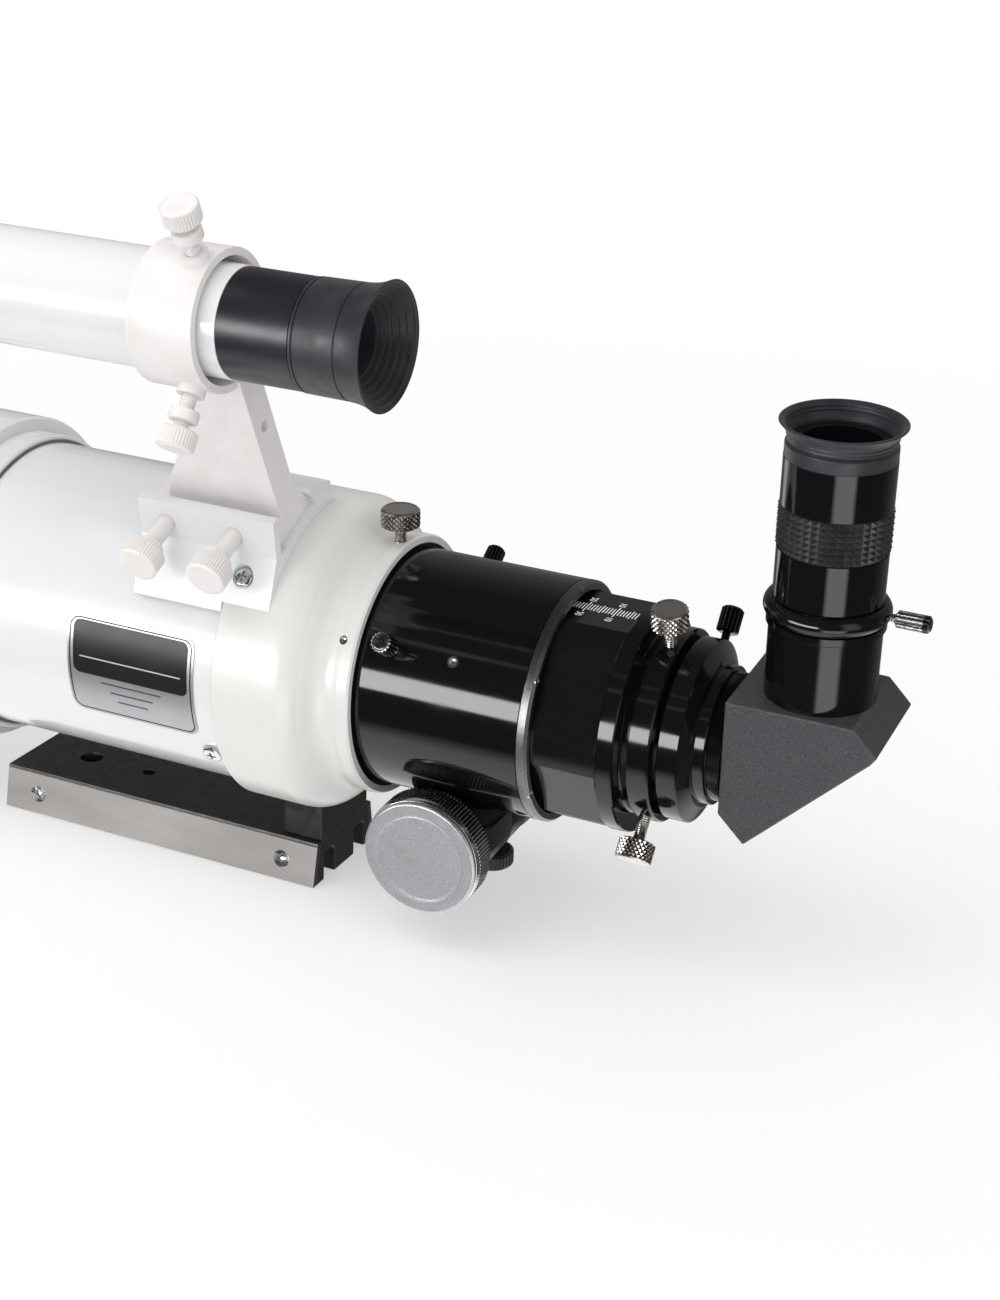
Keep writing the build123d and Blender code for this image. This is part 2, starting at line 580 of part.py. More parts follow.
with BuildPart() as finder_rear_barrel:
    add(turned([(-92, 14), (-92, FINDER_BORE - FIT), (TUBE_END + 0.1, FINDER_BORE - FIT),
                (TUBE_END + 0.1, BARREL_OUT_R), (BARREL_END, BARREL_OUT_R),
                (BARREL_END, BARREL_IN_R), (-84, BARREL_IN_R)], FINDER_AT))
finder_rear_barrel.part.label = "finder_rear_barrel"

with BuildPart() as finder_eyecup:
    with BuildSketch(side_view(0, FINDER_ROLL)):
        with BuildLine():
            Polyline((-47.5, FINDER_HEIGHT + 17.2), (-62.3, FINDER_HEIGHT + 16.9),
                     (-62.3, FINDER_HEIGHT + BARREL_IN_R - RUN),
                     (-70.0, FINDER_HEIGHT + BARREL_IN_R - RUN),
                     (-70.0, FINDER_HEIGHT + EYE_LENS_R), (-54.0, FINDER_HEIGHT + EYE_LENS_R),
                     (-54.0, FINDER_HEIGHT + 10), (-50.0, FINDER_HEIGHT + 10),
                     (-50.0, FINDER_HEIGHT + 13.2), (-42.0, FINDER_HEIGHT + 16.4),
                     (-38.6, FINDER_HEIGHT + 18.6), (-38.6, FINDER_HEIGHT + 19.3))
            Spline((-38.6, FINDER_HEIGHT + 19.3), (-42.5, FINDER_HEIGHT + 17.9),
                   (-47.5, FINDER_HEIGHT + 17.2), tangents=((-1, -0.55), (-1, 0)))
        make_face()
    revolve(axis=Axis(FINDER_AT, X_DIR))
finder_eyecup.part.label = "finder_eyecup"

with BuildPart() as finder_eye_lens:
    add(turned([(-59.4, 0), (-58.6, 6), (-57, 9.5), (-57, EYE_LENS_R - FIT),
                (-54.02, EYE_LENS_R - FIT),
                (-54.02, 9.5), (-52.6, 6), (-51.8, 0)], FINDER_AT))
finder_eye_lens.part.label = "finder_eye_lens"

# ---- Focuser body --------------------------------------------------------------------------

SIDE_LOCK_X = -48.9
SIDE_STEM_R = 1.5
HOUSING_SET_R = 2.0   # set screws that press the drawtube's bearings
SIDE_ROLLS = (FOCUSER_ROLL + 57, FOCUSER_ROLL - 57)
SET_SCREW_X = -28.6
RACK_HALF = 3.5
CHANNEL_HALF = 4.3
CHANNEL_BOTTOM = RACK_LINE - RACK_ADDENDUM - 0.4
GEAR_HALF = 4.0
GEAR_CAVITY_R = PITCH_R + MODULE + 0.4
GEAR_CAVITY_HALF = GEAR_HALF + 0.5
HUB_R = 17.0          # the two outer thirds of the pinion housing
HUB_WAIST_R = 16.5    # the middle third
HUB_STEP = 9.0
HUB_END = 32.2
BLOCK_SCREW_X = (PINION_X - 7, PINION_X + 7)
BLOCK_SCREW_Y = 15.0
BLOCK_SCREW_TIP = 35.0
BLOCK_SCREW_SEAT = 53.0
BLOCK_SCREW_HEAD = 2.8
TENSION_X = -28.0
TENSION_TIP = 53.2    # clear of the pinion's teeth
TENSION_STEM_R = 2.0
RING_SCREW_R = 38.5
RING_SCREW_ROLLS = (0, 60, 120, 240, 300)
RING_SCREW_HEAD = 1.15
SHAFT_AT = spot(PINION_X, PINION_Z, 0, FOCUSER_ROLL)
NEAR_SIDE = near(FOCUSER_ROLL)
DOWN = up(FOCUSER_ROLL) * -1

with BuildPart() as focuser_housing:
    add(turned([(FLANGE_FRONT, HOUSING_BORE), (FLANGE_FRONT, CASTING_BORE_R - RUN),
                (FLANGE_REAR, CASTING_BORE_R - RUN), (FLANGE_REAR, HOUSING_R),
                (HOUSING_REAR, HOUSING_R), (HOUSING_REAR, HOUSING_BORE)]))
    with BuildSketch(section(FLANGE_FRONT - 1, FOCUSER_ROLL)):
        with Locations((0, (CHANNEL_BOTTOM - 30) / 2)):
            Rectangle(2 * CHANNEL_HALF, -30 - CHANNEL_BOTTOM)
    extrude(amount=HOUSING_REAR - FLANGE_FRONT + 2, mode=Mode.SUBTRACT)
    add(pin(-GEAR_CAVITY_HALF, GEAR_CAVITY_HALF, GEAR_CAVITY_R, SHAFT_AT, NEAR_SIDE),
        mode=Mode.SUBTRACT)
    for roll in SIDE_ROLLS:
        add(pin(30, 45, SIDE_STEM_R + RUN, spot(SIDE_LOCK_X), up(roll)), mode=Mode.SUBTRACT)
        add(pin(30, 45, HOUSING_SET_R + FIT, spot(SET_SCREW_X), up(roll)), mode=Mode.SUBTRACT)
    for screw_x in BLOCK_SCREW_X:
        for hand in (1, -1):
            add(pin(BLOCK_SCREW_TIP - FIT, 60, 1.5 + FIT,
                    spot(screw_x, 0, hand * BLOCK_SCREW_Y, FOCUSER_ROLL), DOWN),
                mode=Mode.SUBTRACT)
    for roll in RING_SCREW_ROLLS:
        add(pin(-8.5, 0, 0.7 + FIT, spot(0, RING_SCREW_R, 0, roll)), mode=Mode.SUBTRACT)
focuser_housing.part.label = "focuser_housing"

with BuildPart() as focuser_end_ring:
    add(turned([(HOUSING_REAR, HOUSING_BORE), (HOUSING_REAR, END_RING_R - 0.4),
                (HOUSING_REAR + 0.4, END_RING_R), (-0.9, END_RING_R), (0, END_RING_R - 0.9),
                (0, HOUSING_BORE)]))
    with BuildSketch(section(HOUSING_REAR - 1, FOCUSER_ROLL)):
        with Locations((0, (CHANNEL_BOTTOM - 30) / 2)):
            Rectangle(2 * CHANNEL_HALF, -30 - CHANNEL_BOTTOM)
    extrude(amount=8, mode=Mode.SUBTRACT)
    for roll in RING_SCREW_ROLLS:
        at = spot(0, RING_SCREW_R, 0, roll)
        add(pin(HOUSING_REAR - 1, 1, 0.7 + FIT, at), mode=Mode.SUBTRACT)
        add(pin(-1.2, 1, RING_SCREW_HEAD + FIT, at), mode=Mode.SUBTRACT)
focuser_end_ring.part.label = "focuser_end_ring"

with BuildPart() as end_ring_screws:
    for roll in RING_SCREW_ROLLS:
        add(turned([(-8, 0), (-8, 0.7), (-1.2, 0.7), (-1.2, RING_SCREW_HEAD),
                    (-0.15, RING_SCREW_HEAD), (-0.15, 0.5), (-0.8, 0.5), (-0.8, 0)],
                   spot(0, RING_SCREW_R, 0, roll)))
end_ring_screws.part.label = "end_ring_screws"

# Bearing strips between the drawtube's flats and the housing's bore
GUIDES = ((60, -44.0), (-60, -44.0), (120, -66.0), (-120, -66.0))
with BuildPart() as drawtube_guides:
    for angle, start in GUIDES:
        with BuildSketch(section(start, FOCUSER_ROLL + angle)):
            Circle(HOUSING_BORE - FIT)
            with Locations((0, -10)):
                Rectangle(90, 2 * (FLAT + RUN) + 20, mode=Mode.SUBTRACT)
            Rectangle(9, 90, mode=Mode.INTERSECT)
        extrude(amount=-8 - start)
drawtube_guides.part.label = "drawtube_guides"

with BuildPart() as pinion_block:
    add(turned([(-HUB_END, 0), (-HUB_END, HUB_R - 1), (-HUB_END + 1, HUB_R),
                (-HUB_STEP - 1.2, HUB_R), (-HUB_STEP, HUB_WAIST_R - 0.4),
                (-HUB_STEP + 0.4, HUB_WAIST_R), (HUB_STEP - 0.4, HUB_WAIST_R),
                (HUB_STEP, HUB_WAIST_R - 0.4), (HUB_STEP + 1.2, HUB_R), (HUB_END - 1, HUB_R),
                (HUB_END, HUB_R - 1), (HUB_END, 0)], SHAFT_AT, NEAR_SIDE))
    add(pin(-60, 10, HOUSING_R + FIT), mode=Mode.SUBTRACT)
    add(pin(-GEAR_CAVITY_HALF, GEAR_CAVITY_HALF, GEAR_CAVITY_R, SHAFT_AT, NEAR_SIDE),
        mode=Mode.SUBTRACT)
    add(pin(-HUB_END - 1, HUB_END + 1, SHAFT_R + RUN, SHAFT_AT, NEAR_SIDE), mode=Mode.SUBTRACT)
    add(pin(TENSION_TIP - 0.3, 65, TENSION_STEM_R + RUN, spot(TENSION_X), DOWN),
        mode=Mode.SUBTRACT)
    for screw_x in BLOCK_SCREW_X:
        for hand in (1, -1):
            at = spot(screw_x, 0, hand * BLOCK_SCREW_Y, FOCUSER_ROLL)
            add(pin(30, 65, 1.5 + FIT, at, DOWN), mode=Mode.SUBTRACT)
            add(pin(BLOCK_SCREW_SEAT, 65, BLOCK_SCREW_HEAD + FIT, at, DOWN), mode=Mode.SUBTRACT)
pinion_block.part.label = "pinion_block"

with BuildPart() as focuser_screws:
    for roll in SIDE_ROLLS:
        add(turned([(HOUSING_BORE + 0.02, 0), (HOUSING_BORE + 0.02, HOUSING_SET_R),
                    (39.7, HOUSING_SET_R), (39.7, 1.1), (38.4, 1.1), (38.4, 0)],
                   spot(SET_SCREW_X), up(roll)))
    for screw_x in BLOCK_SCREW_X:
        for hand in (1, -1):
            add(turned([(BLOCK_SCREW_TIP, 0), (BLOCK_SCREW_TIP, 1.5), (BLOCK_SCREW_SEAT, 1.5),
                        (BLOCK_SCREW_SEAT, BLOCK_SCREW_HEAD),
                        (BLOCK_SCREW_SEAT + 2.7, BLOCK_SCREW_HEAD), (BLOCK_SCREW_SEAT + 2.7, 1.3),
                        (BLOCK_SCREW_SEAT + 1, 1.3), (BLOCK_SCREW_SEAT + 1, 0)],
                       spot(screw_x, 0, hand * BLOCK_SCREW_Y, FOCUSER_ROLL), DOWN))
focuser_screws.part.label = "focuser_screws"

with BuildPart() as side_lock_near:
    add(thumbscrew(35.3, 43.4, 52.0, SIDE_STEM_R, 3.3, spot(SIDE_LOCK_X), up(SIDE_ROLLS[0])))
side_lock_near.part.label = "side_lock_near"

with BuildPart() as side_lock_far:
    add(thumbscrew(35.3, 43.4, 52.0, SIDE_STEM_R, 3.3, spot(SIDE_LOCK_X), up(SIDE_ROLLS[1])))
side_lock_far.part.label = "side_lock_far"

with BuildPart() as tension_knob:
    add(thumbscrew(TENSION_TIP, 61.7, 67.3, TENSION_STEM_R, 7.4, spot(TENSION_X), DOWN))
tension_knob.part.label = "tension_knob"

# ---- Drawtube, rack and pinion -------------------------------------------------------------

with BuildPart() as drawtube:
    with BuildSketch(section(DRAW_FRONT, FOCUSER_ROLL)):
        RegularPolygon(radius=FLAT, side_count=6, major_radius=False)
        Circle(DRAW_R, mode=Mode.INTERSECT)
        Circle(DRAW_BORE, mode=Mode.SUBTRACT)
    extrude(amount=DRAW_REAR - DRAW_FRONT)
drawtube.part.label = "drawtube"

PRESSURE = radians(20)
RACK_TEETH = range(-13, 10)
TOOTH_HALF = pi * MODULE / 4 - BACKLASH / 2


def rack_outline():
    """Rack seen from the side: back on the drawtube's flat, teeth down."""
    tip_half = TOOTH_HALF - RACK_ADDENDUM * tan(PRESSURE)
    root_half = TOOTH_HALF + RACK_DEDENDUM * tan(PRESSURE)
    root = RACK_LINE + RACK_DEDENDUM
    tip = RACK_LINE - RACK_ADDENDUM
    points = []
    for count in RACK_TEETH:
        middle = PINION_X + (count + 0.5) * pi * MODULE
        points += [(middle - root_half, root), (middle - tip_half, tip),
                   (middle + tip_half, tip), (middle + root_half, root)]
    return [(points[0][0] - 1, root)] + points + [(points[-1][0] + 1, root),
                                                  (points[-1][0] + 1, -FLAT),
                                                  (points[0][0] - 1, -FLAT)]


with BuildPart() as rack:
    with BuildSketch(side_view(-RACK_HALF, FOCUSER_ROLL)):
        with BuildLine():
            Polyline(*rack_outline(), close=True)
        make_face()
    extrude(amount=2 * RACK_HALF)
rack.part.label = "rack"


def pinion_outline():
    """Involute pinion with one tooth pointing up, radial flanks below the base circle."""
    base_r = PITCH_R * cos(PRESSURE)
    tip_r = PITCH_R + MODULE
    root_r = PITCH_R - RACK_ADDENDUM - 0.3
    half_at_pitch = (pi * MODULE / 2 - BACKLASH) / (2 * PITCH_R)

    def half_angle(radius):
        pressure = acos(min(1, base_r / radius))
        return half_at_pitch + (tan(PRESSURE) - PRESSURE) - (tan(pressure) - pressure)

    steps = 5
    radii = [base_r + (tip_r - base_r) * step / steps for step in range(steps + 1)]
    points = []
    for tooth in range(TEETH):
        middle = pi / 2 - 2 * pi * tooth / TEETH
        flank = [(root_r, half_angle(base_r))] + [(radius, half_angle(radius)) for radius in radii]
        corners = [(radius, middle + angle) for radius, angle in flank]
        corners += [(radius, middle - angle) for radius, angle in reversed(flank)]
        points += [(PINION_X + radius * cos(angle), PINION_Z + radius * sin(angle))
                   for radius, angle in corners]
    return points


with BuildPart() as pinion_shaft:
    with BuildSketch(side_view(-GEAR_HALF, FOCUSER_ROLL)):
        with BuildLine():
            Polyline(*pinion_outline(), close=True)
        make_face()
    extrude(amount=2 * GEAR_HALF)
    add(pin(-KNOB_OUT + 1.5, KNOB_OUT - 1.5, SHAFT_R, SHAFT_AT, NEAR_SIDE))
pinion_shaft.part.label = "pinion_shaft"

FACE_R = 15.2         # sunk disc in the knob's face
with BuildPart() as focus_knobs:
    for outward in (NEAR_SIDE, NEAR_SIDE * -1):
        add(turned([(KNOB_IN, SHAFT_R + FIT), (KNOB_IN, KNOB_R - 0.7), (KNOB_IN + 0.7, KNOB_R),
                    (KNOB_OUT - 0.8, KNOB_R), (KNOB_OUT, KNOB_R - 0.8), (KNOB_OUT, FACE_R),
                    (KNOB_OUT - 0.4, FACE_R - 0.2), (KNOB_OUT - 0.4, 0), (KNOB_OUT - 1.5, 0),
                    (KNOB_OUT - 1.5, SHAFT_R + FIT)], SHAFT_AT, outward))
focus_knobs.part.label = "focus_knobs"

# ---- Visual back ---------------------------------------------------------------------------

CLAMP_STEM_R = 2.0
BAND_X = (CLAMP_X - 2.5, CLAMP_X + 2.5)
BAND_R = 26.6
with BuildPart() as visual_back:
    add(turned([(14.5, 27.0), (14.5, DRAW_BORE - FIT), (RING_A[0], DRAW_BORE - FIT),
                (RING_A[0], RING_A[2] - 0.5), (RING_A[0] + 0.5, RING_A[2]),
                (RING_A[1] - 0.4, RING_A[2]), (RING_A[1], RING_A[2] - 0.4),
                (RING_A[1], NECK_R + 0.6), (RING_A[1] + 0.6, NECK_R), (RING_B[0], NECK_R),
                (RING_B[0], RING_B[2] - 0.4),
                (RING_B[0] + 0.4, RING_B[2]), (RING_B[1] - 0.6, RING_B[2]),
                (RING_B[1], RING_B[2] - 0.6), (RING_B[1], TWO_INCH_R + RUN),
                (BAND_X[1] + 0.1, TWO_INCH_R + RUN), (BAND_X[1] + 0.1, BAND_R + 0.3),
                (BAND_X[0] - 0.1, BAND_R + 0.3), (BAND_X[0] - 0.1, TWO_INCH_R + RUN),
                (24.0, TWO_INCH_R + RUN), (24.0, 27.0)]))
    for roll, foot in (CLAMP_UPPER, CLAMP_LOWER):
        add(pin(20, foot, CLAMP_STEM_R + RUN, spot(CLAMP_X), up(roll)), mode=Mode.SUBTRACT)
visual_back.part.label = "visual_back"

with BuildPart() as clamp_band:
    add(tube_of(BAND_X[0], BAND_X[1], TWO_INCH_R + RUN, BAND_R))
    with BuildSketch(section(BAND_X[0] - 1, -70)):
        with Locations((0, 26)):
            Rectangle(3, 6)
    extrude(amount=8, mode=Mode.SUBTRACT)
clamp_band.part.label = "clamp_band"


def clamp_screw_at(roll, foot):
    """Knurled screw that presses the brass band; foot is where its head begins."""
    return thumbscrew(BAND_R + 0.15, foot, foot + CLAMP_HEAD, CLAMP_STEM_R, CLAMP_HEAD_R,
                      spot(CLAMP_X), up(roll))


with BuildPart() as clamp_screw_upper:
    add(clamp_screw_at(*CLAMP_UPPER))
clamp_screw_upper.part.label = "clamp_screw_upper"

with BuildPart() as clamp_screw_lower:
    add(clamp_screw_at(*CLAMP_LOWER))
clamp_screw_lower.part.label = "clamp_screw_lower"

THREAD_PITCH = 0.75
THREAD_DEPTH = 0.4


def thread_outline():
    """Rings of the external thread, from its front to its rear end."""
    ridges = int((THREAD[1] - THREAD[0]) / THREAD_PITCH)
    points = []
    for ridge in range(ridges):
        start = THREAD[0] + 0.2 + ridge * THREAD_PITCH
        points += [(start, THREAD[2] - THREAD_DEPTH), (start + THREAD_PITCH / 2, THREAD[2])]
    return points + [(THREAD[1], THREAD[2] - THREAD_DEPTH)]


with BuildPart() as eyepiece_adapter:
    add(turned([(26.0, 23.0), (26.0, TWO_INCH_R - 0.3), (26.3, TWO_INCH_R - RUN),
                (RING_C[0], TWO_INCH_R - RUN), (RING_C[0], RING_C[2] - 0.4),
                (RING_C[0] + 0.4, RING_C[2]), (RING_C[1] - 0.3, RING_C[2]),
                (RING_C[1], RING_C[2] - 0.4), (SMALL_RING[0] - 0.4, SMALL_RING[2] + 1.4),
                (SMALL_RING[0], SMALL_RING[2]), (SMALL_RING[1] - 0.3, SMALL_RING[2]),
                (SMALL_RING[1], SMALL_RING[2] - 0.3), (SMALL_RING[1], THREAD[2] - THREAD_DEPTH)]
               + thread_outline()
               + [(THREAD[1], BARREL_R + RUN), (38.0, BARREL_R + RUN), (38.0, 23.0)]))
    add(pin(10, 40, ADAPTER_STEM_R + RUN, spot(ADAPTER_SCREW_X), up(ADAPTER_SCREW_ROLL)),
        mode=Mode.SUBTRACT)
eyepiece_adapter.part.label = "eyepiece_adapter"

with BuildPart() as adapter_screw:
    add(thumbscrew(BARREL_R + 0.15, 32.6, 41.4, ADAPTER_STEM_R, 3.7, spot(ADAPTER_SCREW_X),
                   up(ADAPTER_SCREW_ROLL)))
adapter_screw.part.label = "adapter_screw"

# ---- Star diagonal -------------------------------------------------------------------------

BACK_OFFSET = 10.9    # how far the sloping back lies below the mirror's line, measured upright
WALL = 2.5
CAVITY_HALF = 16.0
COVER_THICK = 1.5
MIRROR_THICK = 6.0
MIRROR_ENDS = (63.5, 93.5)
COVER_ENDS = (67.0, 100.0)
NOSE_BORE = 14.0
NOSE_PLUG_R = 15.3     # end of the nosepiece inside the body
HOLDER_PLUG_R = 15.0   # foot of the eyepiece holder inside the body
HOLDER_STEM_R = 1.4
EYE_AT = spot(EYE_X)
EYE_UP = up(DIAGONAL_ROLL)


def on_slope(x, below=0.0):
    """Point on a line parallel to the mirror's face, below being square to the face."""
    return (x + below * sqrt(0.5), x - EYE_X - below * sqrt(0.5))


BACK_DEPTH = BACK_OFFSET * sqrt(0.5)


def slope_slab(ends, depth_from, depth_to):
    """Corner points of a slab parallel to the mirror's face."""
    return [on_slope(ends[0], depth_from), on_slope(ends[1], depth_from),
            on_slope(ends[1], depth_to), on_slope(ends[0], depth_to)]


COVER_SHIFT = (COVER_ENDS[0] - BACK_OFFSET / 2, COVER_ENDS[1] - BACK_OFFSET / 2)
with BuildPart() as diagonal_body:
    with BuildSketch(side_view(-BODY_HALF, DIAGONAL_ROLL)):
        with BuildLine():
            Polyline((DIAGONAL_FRONT, BODY_TOP), (96.8, BODY_TOP), (104.6, 14.3), (102.7, 11.5),
                     (65.4, 65.4 - EYE_X - BACK_OFFSET), (DIAGONAL_FRONT, -16.9), close=True)
        make_face()
    extrude(amount=2 * BODY_HALF)
    chamfer(diagonal_body.edges().filter_by(lambda edge: edge.length > 1), length=0.35)
    with BuildSketch(side_view(-CAVITY_HALF, DIAGONAL_ROLL)):
        with BuildLine():
            Polyline((DIAGONAL_FRONT + WALL, BODY_TOP - WALL), (94, BODY_TOP - WALL),
                     (98.5, 15), (98.5, 98.5 - EYE_X - BACK_OFFSET),
                     (69, 69 - EYE_X - BACK_OFFSET), (DIAGONAL_FRONT + WALL, -16), close=True)
        make_face()
    extrude(amount=2 * CAVITY_HALF, mode=Mode.SUBTRACT)
    with BuildSketch(side_view(-CAVITY_HALF - 1, DIAGONAL_ROLL)):
        with BuildLine():
            Polyline(*slope_slab(COVER_SHIFT, BACK_DEPTH - COVER_THICK, BACK_DEPTH + 2),
                     close=True)
        make_face()
    extrude(amount=2 * CAVITY_HALF + 2, mode=Mode.SUBTRACT)
    add(pin(DIAGONAL_FRONT - 1, DIAGONAL_FRONT + 5, NOSE_PLUG_R + FIT), mode=Mode.SUBTRACT)
    add(pin(BODY_TOP - 5, BODY_TOP + 1, HOLDER_PLUG_R, EYE_AT, EYE_UP), mode=Mode.SUBTRACT)
diagonal_body.part.label = "diagonal_body"

with BuildPart() as diagonal_cover:
    with BuildSketch(side_view(-CAVITY_HALF - 1 + FIT, DIAGONAL_ROLL)):
        with BuildLine():
            Polyline(*slope_slab((COVER_SHIFT[0] + FIT, COVER_SHIFT[1] - FIT),
                                 BACK_DEPTH - COVER_THICK, BACK_DEPTH - 0.02), close=True)
        make_face()
    extrude(amount=2 * CAVITY_HALF + 2 - 2 * FIT)
diagonal_cover.part.label = "diagonal_cover"

with BuildPart() as diagonal_mirror:
    with BuildSketch(side_view(-CAVITY_HALF + FIT, DIAGONAL_ROLL)):
        with BuildLine():
            Polyline(*slope_slab(MIRROR_ENDS, 0, MIRROR_THICK), close=True)
        make_face()
    extrude(amount=2 * CAVITY_HALF - 2 * FIT)
diagonal_mirror.part.label = "diagonal_mirror"

with BuildPart() as diagonal_nosepiece:
    add(turned([(30.0, NOSE_BORE), (30.0, BARREL_R - 0.4), (30.4, BARREL_R),
                (DIAGONAL_FRONT - 0.05, BARREL_R), (DIAGONAL_FRONT - 0.05, NOSE_PLUG_R),
                (DIAGONAL_FRONT + 3.4, NOSE_PLUG_R), (DIAGONAL_FRONT + 3.4, NOSE_BORE)]))
diagonal_nosepiece.part.label = "diagonal_nosepiece"

COLLAR = (46.2, 48.4, 18.2)
CLAMP_TOP = 54.6
CLAMP_R = 19.4
HOLDER_SCREW_H = 51.4
with BuildPart() as eyepiece_holder:
    with BuildSketch(Plane(origin=EYE_AT, x_dir=X_DIR, z_dir=X_DIR.cross(EYE_UP))):
        with BuildLine():
            Polyline((CLAMP_R - 2.2, COLLAR[1]), (COLLAR[2], COLLAR[1]), (COLLAR[2], COLLAR[0]),
                     (HOLDER_R, COLLAR[0] - 0.6), (HOLDER_R, BODY_TOP + 0.05),
                     (HOLDER_PLUG_R - FIT, BODY_TOP + 0.05), (HOLDER_PLUG_R - FIT, BODY_TOP - WALL),
                     (13.5, BODY_TOP - WALL), (13.5, 25.5), (BARREL_R + RUN, 25.5),
                     (BARREL_R + RUN, CLAMP_TOP), (CLAMP_R - 2.2, CLAMP_TOP))
            ThreePointArc((CLAMP_R - 2.2, CLAMP_TOP), (CLAMP_R, (CLAMP_TOP + COLLAR[1]) / 2),
                          (CLAMP_R - 2.2, COLLAR[1]))
        make_face()
    revolve(axis=Axis(EYE_AT, EYE_UP))
    add(pin(10, 25, HOLDER_STEM_R + RUN, spot(EYE_X, HOLDER_SCREW_H, 0, DIAGONAL_ROLL)),
        mode=Mode.SUBTRACT)
eyepiece_holder.part.label = "eyepiece_holder"

with BuildPart() as holder_screw:
    add(thumbscrew(BARREL_R + 0.15, 21.0, 31.8, HOLDER_STEM_R, 2.7,
                   spot(EYE_X, HOLDER_SCREW_H, 0, DIAGONAL_ROLL), X_DIR, 0.3))
holder_screw.part.label = "holder_screw"

# ---- Eyepiece ------------------------------------------------------------------------------

EYEPIECE_R = 16.8
GRIP = (70.7, 84.7)
BODY_END = 99.3
LENS_BORE = 13.0
PLUG_R = 15.0         # barrel inside the body
PLUG_TOP = 60.0
THROAT_R = 13.8
FIELD_STOP_R = 11.8
SPACER_R = 12.2
GRIP_BED_R = 16.0
NECK_TOP = 104.0
CUP_SEAT_R = 15.2
with BuildPart() as eyepiece_barrel:
    add(turned([(31.0, 14.5), (31.0, BARREL_R - 0.3), (31.3, BARREL_R),
                (EYEPIECE_SEAT, BARREL_R), (EYEPIECE_SEAT, PLUG_R), (PLUG_TOP, PLUG_R),
                (PLUG_TOP, THROAT_R), (46.5, THROAT_R), (46.5, FIELD_STOP_R),
                (45.5, FIELD_STOP_R), (45.5, 14.5)], EYE_AT, EYE_UP))
eyepiece_barrel.part.label = "eyepiece_barrel"

with BuildPart() as eyepiece_body:
    add(turned([(EYEPIECE_SEAT, PLUG_R + FIT), (EYEPIECE_SEAT, EYEPIECE_R - 0.5),
                (EYEPIECE_SEAT + 0.5, EYEPIECE_R), (GRIP[0], EYEPIECE_R), (GRIP[0], GRIP_BED_R),
                (GRIP[1], GRIP_BED_R), (GRIP[1], EYEPIECE_R), (BODY_END, EYEPIECE_R),
                (BODY_END, CUP_SEAT_R), (NECK_TOP, CUP_SEAT_R), (NECK_TOP, 12.0), (97.0, 11.5),
                (96.2, 11.5), (96.2, LENS_BORE + FIT), (88.0, LENS_BORE + FIT), (88.0, SPACER_R),
                (86.0, SPACER_R), (86.0, LENS_BORE + FIT), (78.0, LENS_BORE + FIT),
                (78.0, SPACER_R), (PLUG_TOP + 2, THROAT_R), (PLUG_TOP + 0.02, THROAT_R),
                (PLUG_TOP + 0.02, PLUG_R + FIT)], EYE_AT, EYE_UP))
eyepiece_body.part.label = "eyepiece_body"

with BuildPart() as eyepiece_grip:
    add(tube_of(GRIP[0], GRIP[1], GRIP_BED_R, EYEPIECE_R + 0.2, EYE_AT, EYE_UP))
eyepiece_grip.part.label = "eyepiece_grip"

with BuildPart() as eyepiece_lenses:
    add(turned([(79.4, 0), (79.0, 7), (78.02, 12), (78.02, LENS_BORE), (85.98, LENS_BORE),
                (85.98, 12), (86.6, 7), (86.9, 0)], EYE_AT, EYE_UP))
    add(turned([(87.4, 0), (87.6, 7), (88.02, 12), (88.02, LENS_BORE), (96.18, LENS_BORE),
                (96.18, 11.4), (95.4, 7), (95.2, 0)], EYE_AT, EYE_UP))
eyepiece_lenses.part.label = "eyepiece_lenses"

CUP_R = 18.9
with BuildPart() as eyepiece_eyecup:
    with BuildSketch(Plane(origin=EYE_AT, x_dir=X_DIR, z_dir=X_DIR.cross(EYE_UP))):
        with BuildLine():
            Polyline((CUP_R, EYEPIECE_TOP - 0.4), (CUP_R - 0.4, EYEPIECE_TOP),
                     (CUP_R - 0.9, EYEPIECE_TOP), (17.2, 108.6), (14.6, 105.4),
                     (13.4, NECK_TOP), (CUP_SEAT_R + FIT, NECK_TOP),
                     (CUP_SEAT_R + FIT, BODY_END + 0.02),
                     (16.6, BODY_END + 0.02), (16.6, 104.2), (15.9, 104.9))
            Spline((15.9, 104.9), (16.7, 107.6), (CUP_R, EYEPIECE_TOP - 0.4),
                   tangents=((0.05, 1), (1, 0.9)))
        make_face()
    revolve(axis=Axis(EYE_AT, EYE_UP))
eyepiece_eyecup.part.label = "eyepiece_eyecup"

# ---- Files ---------------------------------------------------------------------------------

os.makedirs("parts", exist_ok=True)
export_step(tube.part, "parts/tube.step")
export_step(rear_casting.part, "parts/rear_casting.step")
export_step(casting_screws.part, "parts/casting_screws.step")
export_step(rotation_lock.part, "parts/rotation_lock.step")
export_step(label_plate.part, "parts/label_plate.step")
export_step(lens_cell.part, "parts/lens_cell.step")
export_step(crown_lens.part, "parts/crown_lens.step")
export_step(flint_lens.part, "parts/flint_lens.step")
export_step(lens_retainer.part, "parts/lens_retainer.step")
export_step(baffles.part, "parts/baffles.step")
export_step(dew_shield.part, "parts/dew_shield.step")
export_step(dew_shield_felt.part, "parts/dew_shield_felt.step")
export_step(dovetail_rail.part, "parts/dovetail_rail.step")
export_step(rail_strips.part, "parts/rail_strips.step")
export_step(rail_screws.part, "parts/rail_screws.step")
export_step(rail_foot.part, "parts/rail_foot.step")
export_step(finder_shoe.part, "parts/finder_shoe.step")
export_step(shoe_screws.part, "parts/shoe_screws.step")
export_step(shoe_clamp_front.part, "parts/shoe_clamp_front.step")
